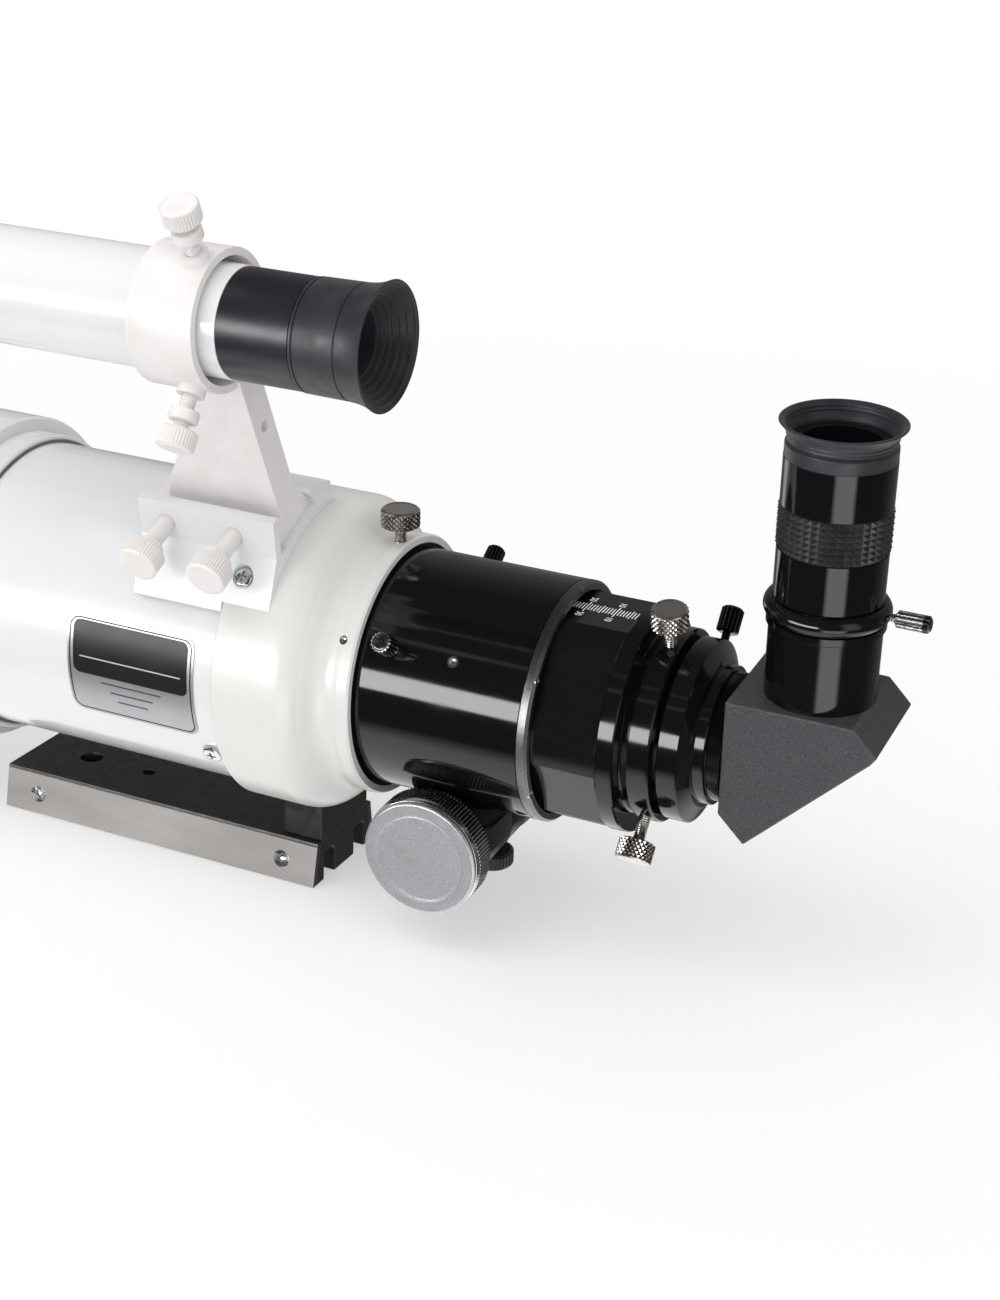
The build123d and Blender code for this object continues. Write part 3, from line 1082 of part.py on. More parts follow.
export_step(shoe_clamp_rear.part, "parts/shoe_clamp_rear.step")
export_step(finder_bracket.part, "parts/finder_bracket.step")
export_step(aim_screw_near.part, "parts/aim_screw_near.step")
export_step(aim_screw_far.part, "parts/aim_screw_far.step")
export_step(aim_screw_top.part, "parts/aim_screw_top.step")
export_step(finder_o_ring.part, "parts/finder_o_ring.step")
export_step(finder_tube.part, "parts/finder_tube.step")
export_step(finder_objective.part, "parts/finder_objective.step")
export_step(finder_rear_barrel.part, "parts/finder_rear_barrel.step")
export_step(finder_eyecup.part, "parts/finder_eyecup.step")
export_step(finder_eye_lens.part, "parts/finder_eye_lens.step")
export_step(focuser_housing.part, "parts/focuser_housing.step")
export_step(focuser_end_ring.part, "parts/focuser_end_ring.step")
export_step(end_ring_screws.part, "parts/end_ring_screws.step")
export_step(drawtube_guides.part, "parts/drawtube_guides.step")
export_step(pinion_block.part, "parts/pinion_block.step")
export_step(focuser_screws.part, "parts/focuser_screws.step")
export_step(side_lock_near.part, "parts/side_lock_near.step")
export_step(side_lock_far.part, "parts/side_lock_far.step")
export_step(tension_knob.part, "parts/tension_knob.step")
export_step(drawtube.part, "parts/drawtube.step")
export_step(rack.part, "parts/rack.step")
export_step(pinion_shaft.part, "parts/pinion_shaft.step")
export_step(focus_knobs.part, "parts/focus_knobs.step")
export_step(visual_back.part, "parts/visual_back.step")
export_step(clamp_band.part, "parts/clamp_band.step")
export_step(clamp_screw_upper.part, "parts/clamp_screw_upper.step")
export_step(clamp_screw_lower.part, "parts/clamp_screw_lower.step")
export_step(eyepiece_adapter.part, "parts/eyepiece_adapter.step")
export_step(adapter_screw.part, "parts/adapter_screw.step")
export_step(diagonal_body.part, "parts/diagonal_body.step")
export_step(diagonal_cover.part, "parts/diagonal_cover.step")
export_step(diagonal_mirror.part, "parts/diagonal_mirror.step")
export_step(diagonal_nosepiece.part, "parts/diagonal_nosepiece.step")
export_step(eyepiece_holder.part, "parts/eyepiece_holder.step")
export_step(holder_screw.part, "parts/holder_screw.step")
export_step(eyepiece_barrel.part, "parts/eyepiece_barrel.step")
export_step(eyepiece_body.part, "parts/eyepiece_body.step")
export_step(eyepiece_grip.part, "parts/eyepiece_grip.step")
export_step(eyepiece_lenses.part, "parts/eyepiece_lenses.step")
export_step(eyepiece_eyecup.part, "parts/eyepiece_eyecup.step")
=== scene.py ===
import json
from math import cos, pi, radians, sin, sqrt

import bmesh
import bpy
from mathutils import Matrix, Vector


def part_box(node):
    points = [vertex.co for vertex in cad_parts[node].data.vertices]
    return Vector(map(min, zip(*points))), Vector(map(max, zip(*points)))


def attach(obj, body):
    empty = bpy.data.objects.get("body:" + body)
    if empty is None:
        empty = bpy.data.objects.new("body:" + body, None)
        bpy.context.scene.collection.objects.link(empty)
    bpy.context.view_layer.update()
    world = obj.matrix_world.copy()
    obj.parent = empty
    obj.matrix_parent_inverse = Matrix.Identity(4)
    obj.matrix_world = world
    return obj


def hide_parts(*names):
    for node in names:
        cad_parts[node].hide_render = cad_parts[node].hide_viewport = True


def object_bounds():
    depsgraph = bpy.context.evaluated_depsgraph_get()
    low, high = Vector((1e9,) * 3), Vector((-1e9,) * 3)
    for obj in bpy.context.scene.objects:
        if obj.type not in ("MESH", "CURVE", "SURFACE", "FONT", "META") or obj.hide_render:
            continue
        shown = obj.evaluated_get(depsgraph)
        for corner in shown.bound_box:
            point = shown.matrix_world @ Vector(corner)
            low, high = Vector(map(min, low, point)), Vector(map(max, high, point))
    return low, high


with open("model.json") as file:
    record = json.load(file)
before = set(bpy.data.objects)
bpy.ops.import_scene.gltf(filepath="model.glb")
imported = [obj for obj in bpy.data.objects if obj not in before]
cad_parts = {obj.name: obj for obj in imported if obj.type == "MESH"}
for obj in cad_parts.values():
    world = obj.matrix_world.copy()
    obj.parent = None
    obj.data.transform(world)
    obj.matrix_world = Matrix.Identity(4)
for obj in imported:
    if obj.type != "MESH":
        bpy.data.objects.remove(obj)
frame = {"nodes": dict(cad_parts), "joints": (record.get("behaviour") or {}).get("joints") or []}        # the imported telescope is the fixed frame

# The looks of a short refractor telescope. Metres in Blender; sizes below are in millimetres and
# are turned into metres where meshes are made. X is the optical axis, Z is up.

MM = 0.001
CAD_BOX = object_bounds()
NODES = frame["nodes"]
JOINTS = {joint["name"]: joint for joint in frame["joints"]}


# ---- Places, read from the frame -----------------------------------------------------------

def hinge(name):
    """A point on a joint's axis, and the axis."""
    return Vector(JOINTS[name]["pos_m"]), Vector(JOINTS[name]["axis"]).normalized()


def placed(at, axis):
    """Frame with its origin at a point and its Z along axis."""
    return Matrix.Translation(at) @ axis.to_track_quat("Z", "Y").to_matrix().to_4x4()


def corners_of(node):
    """Corner points of a CAD node."""
    return [vertex.co for vertex in NODES[node].data.vertices]


def heights_and_radii(points, at, axis):
    """Height along an axis and distance from it, in mm, of each point."""
    found = []
    for point in points:
        offset = point - at
        height = offset.dot(axis)
        found.append((height / MM, (offset - axis * height).length / MM))
    return found


def measured(points, at, axis):
    """Lowest and highest point along an axis and the largest distance from it, in mm."""
    found = heights_and_radii(points, at, axis)
    heights = [height for height, radius in found]
    return min(heights), max(heights), max(radius for height, radius in found)


def screw_sizes(node, at, axis):
    """Tip, foot of the head, top, stem radius and head radius of a CAD screw, in mm."""
    points = corners_of(node)
    tip, top, head_r = measured(points, at, axis)
    found = heights_and_radii(points, at, axis)
    foot = min(height for height, radius in found if radius > 0.85 * head_r)
    stem_r = max(radius for height, radius in found if height < foot - 1)
    return tip, foot, top, stem_r, head_r


OPTICAL = Vector((1, 0, 0))
FOCUS_AT, FOCUS_AXIS = hinge("pinion_turn")
FOCUSER_UP = -hinge("tension_turn")[1]
EYE_UP = Vector(JOINTS["eyepiece_slide"]["axis"]).normalized()
EYE_X = hinge("holder_screw_turn")[0].x
FINDER_AT = hinge("finder_pitch")[0]


# ---- Meshes --------------------------------------------------------------------------------

THREAD_PITCH = 0.7


def pattern(style, row, height, column, columns):
    """Depth of a surface pattern at one corner, 0 at its crests and 1 in its valleys."""
    if style == "diamond":
        return (column + row) % 2
    if style == "pyramid":
        return 0 if column % 2 and row % 2 else 1
    if style == "ribs":
        return (0, 0, 1, 1)[column % 4]
    if style == "fine":
        return column % 2
    if style == "thread":
        return abs((height / THREAD_PITCH + column / columns) % 1 * 2 - 1)
    return 0


def corner_reach(style, radius, angle):
    """Radius of a round or a six-sided outline at an angle."""
    if style == "hex":
        return radius / cos((angle + pi / 6) % (pi / 3) - pi / 6)
    return radius


def plain(outline):
    """Rows for a smooth turned outline of (height, radius) points."""
    return [(height, radius, 0, None) for height, radius in outline]


def softened(outline, size=0.3, steps=3):
    """The same outline with its corners rounded."""
    result = [outline[0]]
    for before, corner, after in zip(outline, outline[1:], outline[2:]):
        corner = Vector(corner)
        into, out = corner - Vector(before), Vector(after) - corner
        if min(into.length, out.length) < 1e-6 or into.angle(out) < radians(12):
            result.append(tuple(corner))
            continue
        reach = min(size, 0.45 * into.length, 0.45 * out.length)
        start, end = corner - into.normalized() * reach, corner + out.normalized() * reach
        for step in range(steps + 1):
            share = step / steps
            point = start * (1 - share) ** 2 + corner * 2 * share * (1 - share) + end * share ** 2
            result.append(tuple(point))
    result.append(outline[-1])
    return result


def patterned(low, high, radius, depth, style, step):
    """Evenly spaced rows of a pattern between two heights."""
    count = max(2, 2 * round((high - low) / step / 2))
    return [(low + (high - low) * number / count, radius, depth, style)
            for number in range(count + 1)]


def thread_rows(low, high, radius):
    """Rows of a screw thread."""
    return patterned(low, high, radius, 0.28, "thread", THREAD_PITCH / 4)


def skin(rings, styles, reaches, closed):
    """Faces between rings of corners; a pattern's faces are split along its ridges or valleys."""
    faces = []
    count = len(rings)
    for number in range(count if closed else count - 1):
        lower, upper = rings[number], rings[(number + 1) % count]
        style = styles[number] if styles[number] == styles[(number + 1) % count] else None
        for column in range(len(lower)):
            after = (column + 1) % len(lower)
            face = list(dict.fromkeys((lower[column], lower[after], upper[after], upper[column])))
            if len(face) == 4 and style in ("diamond", "pyramid"):
                pick = min if style == "diamond" else max
                first = face.index(pick(face, key=lambda corner: reaches[corner]))
                face = face[first:] + face[:first]
                faces += [face[:3], [face[0], face[2], face[3]]]
            elif len(face) > 2:
                faces.append(face)
    return faces


def turned_mesh(rows, columns=96, closed=False):
    """Mesh of revolution about Z from rows of (height, radius, pattern depth, pattern)."""
    corners, rings, reaches, depths = [], [], [], []
    for number, (height, radius, depth, style) in enumerate(rows):
        if radius == 0:
            rings.append([len(corners)] * columns)
            corners.append((0, 0, height * MM))
            reaches.append(0)
            depths.append(0)
            continue
        rings.append(list(range(len(corners), len(corners) + columns)))
        for column in range(columns):
            angle = 2 * pi * column / columns
            share = pattern(style, number, height, column, columns)
            reach = corner_reach(style, radius, angle) - depth * share
            corners.append((reach * cos(angle) * MM, reach * sin(angle) * MM, height * MM))
            reaches.append(reach)
            depths.append(share)
    faces = skin(rings, [row[3] for row in rows], reaches, closed)
    mesh = bpy.data.meshes.new("turned")
    mesh.from_pydata(corners, [], faces)
    mesh.attributes.new("painted_valley_shade", "FLOAT", "POINT").data.foreach_set("value", depths)
    return mesh


def joined(parts):
    """One mesh from (mesh, matrix) pairs."""
    whole = bmesh.new()
    for mesh, matrix in parts:
        mesh.transform(matrix)
        whole.from_mesh(mesh)
        bpy.data.meshes.remove(mesh)
    mesh = bpy.data.meshes.new("joined")
    whole.to_mesh(mesh)
    whole.free()
    return mesh


def carved(mesh, cutter):
    """The mesh with a cutter's shape taken out of it."""
    block = bpy.data.objects.new("block", mesh)
    tool = bpy.data.objects.new("tool", cutter)
    for made in (block, tool):
        bpy.context.scene.collection.objects.link(made)
    cut = block.modifiers.new("cut", "BOOLEAN")
    cut.operation, cut.object, cut.solver = "DIFFERENCE", tool, "EXACT"
    bpy.context.view_layer.update()
    result = bpy.data.meshes.new_from_object(
        block.evaluated_get(bpy.context.evaluated_depsgraph_get()))
    bpy.data.objects.remove(block)
    bpy.data.objects.remove(tool)
    return result


def prism(outline, low, high, taper=1.0):
    """Upright prism over an outline of (x, y) points in mm; its low end may be smaller."""
    count = len(outline)
    corners = [(x * taper * MM, y * taper * MM, low * MM) for x, y in outline]
    corners += [(x * MM, y * MM, high * MM) for x, y in outline]
    faces = [list(range(count))[::-1], list(range(count, 2 * count))]
    faces += [[n, (n + 1) % count, (n + 1) % count + count, n + count] for n in range(count)]
    mesh = bpy.data.meshes.new("prism")
    mesh.from_pydata(corners, [], faces)
    return mesh


def show(name, mesh, body, finishes, nodes=(), matrix=None, sharp=32, weighted=True):
    """Puts a mesh in the scene as a finished piece that rides on a body."""
    mesh.name = name
    clean = bmesh.new()
    clean.from_mesh(mesh)
    bmesh.ops.recalc_face_normals(clean, faces=clean.faces)
    clean.to_mesh(mesh)
    clean.free()
    mesh.shade_smooth()
    mesh.set_sharp_from_angle(angle=radians(sharp))
    for finish in finishes:
        mesh.materials.append(finish)
    piece = bpy.data.objects.new(name, mesh)
    bpy.context.scene.collection.objects.link(piece)
    if matrix is not None:
        piece.matrix_world = matrix
    if weighted:
        piece.modifiers.new("normals", "WEIGHTED_NORMAL").keep_sharp = True
    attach(piece, body)
    if nodes:
        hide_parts(*nodes)
    return piece


# ---- Materials -----------------------------------------------------------------------------

class Nodes:
    """Short ways to add and join shader nodes."""

    def __init__(self, tree):
        self.tree = tree

    def feed(self, socket, value):
        if isinstance(value, bpy.types.NodeSocket):
            self.tree.links.new(value, socket)
        else:
            socket.default_value = value

    def node(self, kind, inputs=None, **settings):
        made = self.tree.nodes.new("ShaderNode" + kind)
        for key, value in settings.items():
            setattr(made, key, value)
        for socket, value in (inputs or {}).items():
            self.feed(made.inputs[socket], value)
        return made

    def ranged(self, value, from_low, from_high, low, high):
        """Maps a value from one range to another, held at both ends."""
        return self.node("MapRange", {"Value": value, "From Min": from_low, "From Max": from_high,
                                      "To Min": low, "To Max": high}).outputs[0]

    def maths(self, operation, first, second=0.0):
        return self.node("Math", {0: first, 1: second}, operation=operation).outputs[0]

    def mixed(self, share, first, second):
        """Mix of two colours."""
        colours = [(*colour, 1.0) if isinstance(colour, tuple) and len(colour) == 3 else colour
                   for colour in (first, second)]
        return self.node("Mix", {0: share, 6: colours[0], 7: colours[1]},
                         data_type="RGBA").outputs[2]


class Finish(Nodes):
    """A Principled material and the nodes that drive it. Sizes are mm in the piece's own space."""

    def __init__(self, name, colour, roughness, metallic=0.0, **more):
        self.material = bpy.data.materials.new(name)
        self.material.use_nodes = True
        super().__init__(self.material.node_tree)
        self.surface = self.tree.nodes["Principled BSDF"]
        self.normal = None
        self.set(base_color=(*colour, 1.0), roughness=roughness, metallic=metallic, **more)
        self.space = self.node("TexCoord").outputs["Object"]

    def set(self, **values):
        """Sets or drives inputs of the surface, named in lower case with underscores."""
        for key, value in values.items():
            label = key.replace("_", " ").title().replace("Ior", "IOR")
            self.feed(self.surface.inputs[label], value)

    def noise(self, size, detail=2.0, stretch=(1, 1, 1)):
        """Noise from 0 to 1 whose blobs are about size mm across."""
        scale = [part / (size * MM) for part in stretch]
        place = self.node("Mapping", {"Vector": self.space, "Scale": scale})
        made = self.node("TexNoise", {"Vector": place.outputs[0], "Scale": 1.0, "Detail": detail})
        return made.outputs[0]

    def patches(self, size, detail, low, high, stretch=(1, 1, 1)):
        """Soft noise patches mapped between two values."""
        return self.ranged(self.noise(size, detail, stretch), 0.33, 0.7, low, high)

    def cells(self, size):
        """Distance to the nearest of scattered points about size mm apart."""
        place = self.node("Mapping", {"Vector": self.space, "Scale": [1 / (size * MM)] * 3})
        return self.node("TexVoronoi", {"Vector": place.outputs[0], "Scale": 1.0}).outputs[0]

    def bump(self, height, depth, strength=1.0):
        """Adds relief of a depth in mm."""
        values = {"Height": height, "Distance": depth * MM, "Strength": strength}
        if self.normal is not None:
            values["Normal"] = self.normal
        self.normal = self.node("Bump", values).outputs[0]
        self.set(normal=self.normal)

    def edges(self, width):
        """1 on edges that stick out, 0 on flats."""
        rounded = self.node("Bevel", {"Radius": width * MM}, samples=4).outputs[0]
        face = self.node("NewGeometry").outputs["Normal"]
        same = self.node("VectorMath", {0: rounded, 1: face}, operation="DOT_PRODUCT")
        return self.ranged(same.outputs["Value"], 0.80, 0.985, 1.0, 0.0)

    def worn(self, width, tone, bright, low, high):
        """The tone with unevenly brightened edges, partly scuffed wear and partly a painted edge
        highlight.
        """
        # Edges brightened towards the given colour: partly wear, partly a painted edge highlight.
        return self.mixed(self.maths("MULTIPLY", self.edges(width),
                                     self.patches(3.5, 4.0, low, high)), tone, bright)

    def valleys(self):
        """The depth share that a patterned mesh carries; materials use it as the mask of painted shade
        in the valleys.
        """
        return self.node("Attribute", attribute_name="painted_valley_shade").outputs["Fac"]


def gloss_white(name, colour, roughness, peel=0.003):
    """Sprayed gloss paint with faint orange peel, clear coat and fine dust."""
    finish = Finish(name, colour, roughness, coat_weight=0.5, coat_roughness=0.06)
    finish.bump(finish.noise(2.6, 2.0), peel)
    shaded = tuple(part * 0.985 for part in colour)
    tone = finish.mixed(finish.patches(40, 2.0, 0, 1), colour, shaded)
    dust = finish.ranged(finish.cells(7.0), 0.0, 0.03, 0.25, 0.0)
    finish.set(base_color=finish.mixed(dust, tone, (0.6, 0.59, 0.57)),
               roughness=finish.patches(14, 4.0, roughness, roughness + 0.08))
    return finish.material


def cast_paint(name, colour):
    """Satin powder coat over a casting, with fine texture."""
    finish = Finish(name, colour, 0.3, coat_weight=0.2, coat_roughness=0.2)
    finish.bump(finish.noise(0.8, 3.0), 0.006)
    finish.bump(finish.noise(6.0, 2.0), 0.015, 0.6)
    shaded = tuple(part * 0.985 for part in colour)
    finish.set(base_color=finish.mixed(finish.patches(25, 2.0, 0, 1), colour, shaded),
               roughness=finish.patches(6.0, 2.0, 0.30, 0.34))
    return finish.material


def ivory_plastic():
    """Moulded ivory nylon, slightly see-through, with a faint grain, patches of wear and painted shade
    in the valleys of its ribs.
    """
    # The second colour is both the tone of patches of wear and painted shade in the rib valleys.
    colour, worn = (0.80, 0.78, 0.77), (0.70, 0.66, 0.64)
    finish = Finish("ivory_plastic", colour, 0.4, subsurface_weight=0.2, subsurface_scale=0.002,
                    subsurface_radius=(1.0, 0.75, 0.55))
    finish.bump(finish.noise(0.5, 2.0), 0.008)
    # Painted shade: the valleys of the ribs are darkened towards the second colour.
    ivory_valley_shade = finish.maths("MULTIPLY", finish.valleys(), 0.8)
    finish.set(base_color=finish.mixed(finish.maths("MAXIMUM", finish.patches(9, 4.0, 0, 0.5), ivory_valley_shade),
                                       colour, worn),
               roughness=finish.patches(4, 3.0, 0.3, 0.46))
    return finish.material


def black_gloss(name, roughness, colour=(0.004, 0.004, 0.005), relief=0.0002):
    """Polished black anodising with faint smudges and dust."""
    finish = Finish(name, colour, roughness, specular_ior_level=0.5)
    finish.bump(finish.noise(3.0, 2.0), relief)
    smudge = finish.patches(13, 5.0, roughness, roughness + 0.06)
    dust = finish.ranged(finish.cells(4.5), 0.0, 0.035, 0.5, 0.0)
    finish.set(base_color=finish.mixed(dust, colour, (0.08, 0.08, 0.09)), roughness=smudge)
    return finish.material


def draw_black():
    """Semi-gloss black anodising with fine lengthwise lines and scuffed corners, whose brightening is
    partly a painted highlight.
    """
    colour = (0.005, 0.005, 0.006)
    finish = Finish("draw_black", colour, 0.14)
    finish.bump(finish.noise(0.5, 2.0, (0.02, 1, 1)), 0.0006)
    # Scuffed corners, partly a painted highlight.
    tone = finish.worn(0.3, colour, (0.20, 0.20, 0.19), 0, 0.5)
    finish.set(base_color=tone, roughness=finish.patches(5, 4.0, 0.1, 0.22, (0.15, 1, 1)))
    return finish.material


def grained(name, tones, grain, contrast, rough, rubbed_and_lit_edges=None, metallic=0.0):
    """Grain that shades the surface between two tones, with bright edges that are partly scuffed wear
    and partly a painted edge highlight.

    Grain is size, detail and depth; contrast maps it to the share of the second tone; rough is size,
    detail, low and high; rubbed_and_lit_edges is the edges' width, colour, lowest and highest share.
    """
    finish = Finish(name, tones[0], rough[2], metallic)
    size, detail, depth = grain
    fine = finish.noise(size, detail)
    finish.bump(fine, depth)
    tone = finish.mixed(finish.ranged(fine, *contrast), *tones)
    if rubbed_and_lit_edges is not None:
        width, bright, low, high = rubbed_and_lit_edges
        # Brightened edges: partly wear, partly a painted edge highlight.
        tone = finish.worn(width, tone, bright, low, high)
    finish.set(base_color=tone, roughness=finish.patches(*rough))
    return finish.material


def knurled_metal(name, colour, painted_valley_shade, roughness, metallic=1.0):
    """Plated metal of thumbscrews: turned end faces, and darker valleys that are painted shade."""
    finish = Finish(name, colour, roughness, metallic, anisotropic=0.6)
    finish.set(tangent=finish.node("Tangent", direction_type="RADIAL", axis="Z").outputs[0])
    finish.bump(finish.noise(0.5, 2.0), 0.002)
    # Painted shade: the valleys of the pattern take the second colour.
    tone = finish.mixed(finish.maths("POWER", finish.valleys(), 1.6), colour, painted_valley_shade)
    finish.set(base_color=tone, roughness=finish.patches(1.5, 4.0, roughness, roughness + 0.12))
    return finish.material


def plain_finish(name, colour, other, relief, tone, rough, metallic=0.0, **more):
    """Fine relief, soft patches of a second colour and uneven roughness.

    Relief is size, detail, stretch and depth; tone and rough are size, detail, low and high.
    """
    finish = Finish(name, colour, rough[2], metallic, **more)
    *grain, depth = relief
    finish.bump(finish.noise(*grain), depth)
    finish.set(base_color=finish.mixed(finish.patches(*tone), colour, other),
               roughness=finish.patches(*rough))
    return finish.material


def brushed_strip():
    """Stainless strip brushed along the rail, a little stained."""
    colour, stain = (0.24, 0.228, 0.22), (0.17, 0.16, 0.155)
    finish = Finish("brushed_strip", colour, 0.36, 1.0, anisotropic=0.5)
    brush = finish.noise(0.3, 3.0, (0.012, 1, 1))
    finish.bump(brush, 0.003)
    tone = finish.mixed(finish.patches(20, 2.0, 0, 1, (0.3, 1, 1)), colour, stain)
    finish.set(base_color=finish.mixed(finish.ranged(brush, 0.35, 0.65, 0, 0.3), tone, stain),
               roughness=finish.patches(7, 2.0, 0.34, 0.40, (0.3, 1, 1)))
    return finish.material


def felt():
    """Black felt with short fibres."""
    finish = Finish("felt", (0.012, 0.012, 0.012), 0.95, sheen_weight=0.6, sheen_roughness=0.6)
    fibres = finish.noise(0.35, 4.0, (0.25, 1, 1))
    finish.bump(fibres, 0.08)
    finish.set(base_color=finish.mixed(fibres, (0.006, 0.006, 0.006), (0.03, 0.03, 0.03)),
               roughness=finish.patches(2, 3.0, 0.9, 1.0))
    return finish.material


def lens_glass(name, tint):
    """Coated glass: clear, with a coloured reflection that grows towards its rim."""
    finish = Finish(name, (0.9, 0.95, 0.93), 0.02)
    facing = finish.node("LayerWeight", {"Blend": 0.25}).outputs["Fresnel"]
    share = finish.ranged(facing, 0.0, 1.0, 0.03, 0.40)
    clear = finish.node("BsdfTransparent", {"Color": (0.93, 0.97, 0.96, 1)})
    shiny = finish.node("BsdfGlossy", {"Color": (*tint, 1),
                                       "Roughness": finish.patches(9, 4.0, 0.01, 0.05)})
    both = finish.node("MixShader", {0: share, 1: clear.outputs[0], 2: shiny.outputs[0]})
    out = finish.tree.nodes["Material Output"]
    finish.tree.links.new(both.outputs[0], out.inputs["Surface"])
    return finish.material


def mirror():
    """First-surface mirror."""
    finish = Finish("mirror", (0.9, 0.9, 0.9), 0.02, 1.0)
    finish.set(roughness=finish.patches(6, 4.0, 0.015, 0.06))
    return finish.material


def rounded_box(finish, place, centre, half, corner):
    """Signed distance in mm from a rounded rectangle in the X and Z of place."""
    apart = []
    for axis, middle, reach in (("X", centre[0], half[0]), ("Z", centre[1], half[1])):
        value = finish.maths("MULTIPLY", place.outputs[axis], 1 / MM)
        offset = finish.maths("ABSOLUTE", finish.maths("SUBTRACT", value, middle))
        apart.append(finish.maths("SUBTRACT", offset, reach - corner))
    outside = [finish.maths("MAXIMUM", value, 0.0) for value in apart]
    squares = finish.maths("ADD", finish.maths("MULTIPLY", outside[0], outside[0]),
                           finish.maths("MULTIPLY", outside[1], outside[1]))
    inside = finish.maths("MINIMUM", finish.maths("MAXIMUM", apart[0], apart[1]), 0.0)
    return finish.maths("SUBTRACT", finish.maths("ADD", finish.maths("SQRT", squares), inside),
                        corner)


def label_foil():
    """Silver foil label with a black border line and a dark upper panel; it carries no words."""
    low, high = (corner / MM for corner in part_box("label_plate"))
    middle = ((low.x + high.x) / 2, (low.z + high.z) / 2)
    half = ((high.x - low.x) / 2, (high.z - low.z) / 2)
    finish = Finish("label_foil", (0.6, 0.6, 0.61), 0.3, 0.9)
    place = finish.node("SeparateXYZ", {0: finish.space})
    border = rounded_box(finish, place, middle, (half[0] - 1.0, half[1] - 1.0), 3.2)
    on_border = finish.ranged(finish.maths("ABSOLUTE", border), 0.2, 0.32, 1, 0)
    panel = rounded_box(finish, place, (middle[0], middle[1] + half[1] * 0.38),
                        (half[0] - 2.2, half[1] * 0.53), 2.6)
    on_panel = finish.ranged(panel, -0.08, 0.08, 1, 0)
    fine = finish.noise(0.3, 2.0, (0.06, 1, 1))
    silver = finish.mixed(fine, (0.40, 0.40, 0.415), (0.48, 0.48, 0.495))
    dark = finish.maths("MAXIMUM", on_border, on_panel)
    finish.set(base_color=finish.mixed(dark, silver, (0.010, 0.010, 0.012)),
               metallic=finish.ranged(dark, 0, 1, 0.75, 0.0),
               roughness=finish.patches(8, 2.0, 0.3, 0.34), specular_ior_level=0.3)
    return finish.material


EVEN = (1, 1, 1)
LENGTHWISE = (0.08, 1, 1)

TUBE_WHITE = gloss_white("tube_white", (0.77, 0.775, 0.785), 0.16)
SHIELD_WHITE = gloss_white("shield_white", (0.76, 0.76, 0.765), 0.2)
CASTING_WHITE = cast_paint("casting_white", (0.73, 0.725, 0.70))
SHOE_WHITE = cast_paint("shoe_white", (0.74, 0.75, 0.765))
IVORY = ivory_plastic()
HOUSING_BLACK = black_gloss("housing_black", 0.06)
RING_BLACK = black_gloss("ring_black", 0.07)
HOLDER_BLACK = black_gloss("holder_black", 0.09)
EYEPIECE_BLACK = black_gloss("eyepiece_black", 0.05)
FINDER_BLACK = black_gloss("finder_black", 0.3, (0.014, 0.012, 0.018))
DRAW_BLACK = draw_black()
# The last tuple of RING_GREY, RAIL_BLACK and WRINKLE sets their brightened edges, partly wear and
# partly a painted edge highlight.
RING_GREY = grained("ring_grey", ((0.1292, 0.1292, 0.1278), (0.2565, 0.2565, 0.2538)),
                    (0.35, 2.0, 0.02), (0.3, 0.7, 0, 1), (2, 2.0, 0.34, 0.40),
                    (0.4, (0.6, 0.6, 0.59), 0.3, 1.0), 1.0)
SILVER = grained("silver_blasted", ((0.34, 0.34, 0.3536), (0.675, 0.675, 0.702)),
                 (0.28, 2.0, 0.008), (0.3, 0.7, 0, 1), (2, 2.0, 0.38, 0.44), metallic=1.0)
# The second colour of NICKEL, BLACK_CHROME, BRIGHT_RIBS and BLACK_RIBS is painted shade in the valleys
# of their patterns.
NICKEL = knurled_metal("nickel", (0.66, 0.615, 0.58), (0.06, 0.05, 0.045), 0.2)
BLACK_CHROME = knurled_metal("black_chrome", (0.16, 0.155, 0.15), (0.008, 0.008, 0.008), 0.14)
BRIGHT_RIBS = knurled_metal("bright_ribs", (0.70, 0.69, 0.68), (0.03, 0.03, 0.03), 0.18)
BLACK_RIBS = knurled_metal("black_ribs", (0.03, 0.03, 0.032), (0.004, 0.004, 0.004), 0.35, 0.0)
CHROME = plain_finish("chrome", (0.74, 0.74, 0.75), (0.55, 0.54, 0.53),
                      (0.5, 3.0, LENGTHWISE, 0.001), (8, 4.0, 0, 0.5), (4, 5.0, 0.07, 0.24), 1.0)
RAIL_BLACK = grained("rail_black", ((0.010, 0.010, 0.010), (0.07, 0.07, 0.066)),
                     (0.6, 3.0, 0.02), (0.55, 0.85, 0, 0.35), (3, 3.0, 0.32, 0.48),
                     (0.4, (0.38, 0.37, 0.34), 0.1, 0.9))
STEEL = brushed_strip()
WRINKLE = grained("wrinkle_black", ((0.022, 0.022, 0.025), (0.075, 0.074, 0.082)),
                  (0.42, 3.0, 0.035), (0.35, 0.7, 0, 1), (1.2, 3.0, 0.36, 0.5),
                  (0.45, (0.55, 0.55, 0.56), 0.2, 1.0))
RUBBER = {"specular_ior_level": 0.45, "sheen_weight": 0.1, "sheen_roughness": 0.5}
GRIP_RUBBER = plain_finish("grip_rubber", (0.010, 0.010, 0.011), (0.021, 0.021, 0.0228),
                           (0.4, 3.0, EVEN, 0.006), (7, 5.0, 0, 0.7), (3, 4.0, 0.24, 0.40), **RUBBER)
CUP_RUBBER = plain_finish("cup_rubber", (0.016, 0.015, 0.019), (0.0318, 0.030, 0.0372),
                          (0.4, 3.0, EVEN, 0.006), (7, 5.0, 0, 0.7), (3, 4.0, 0.36, 0.52), **RUBBER)
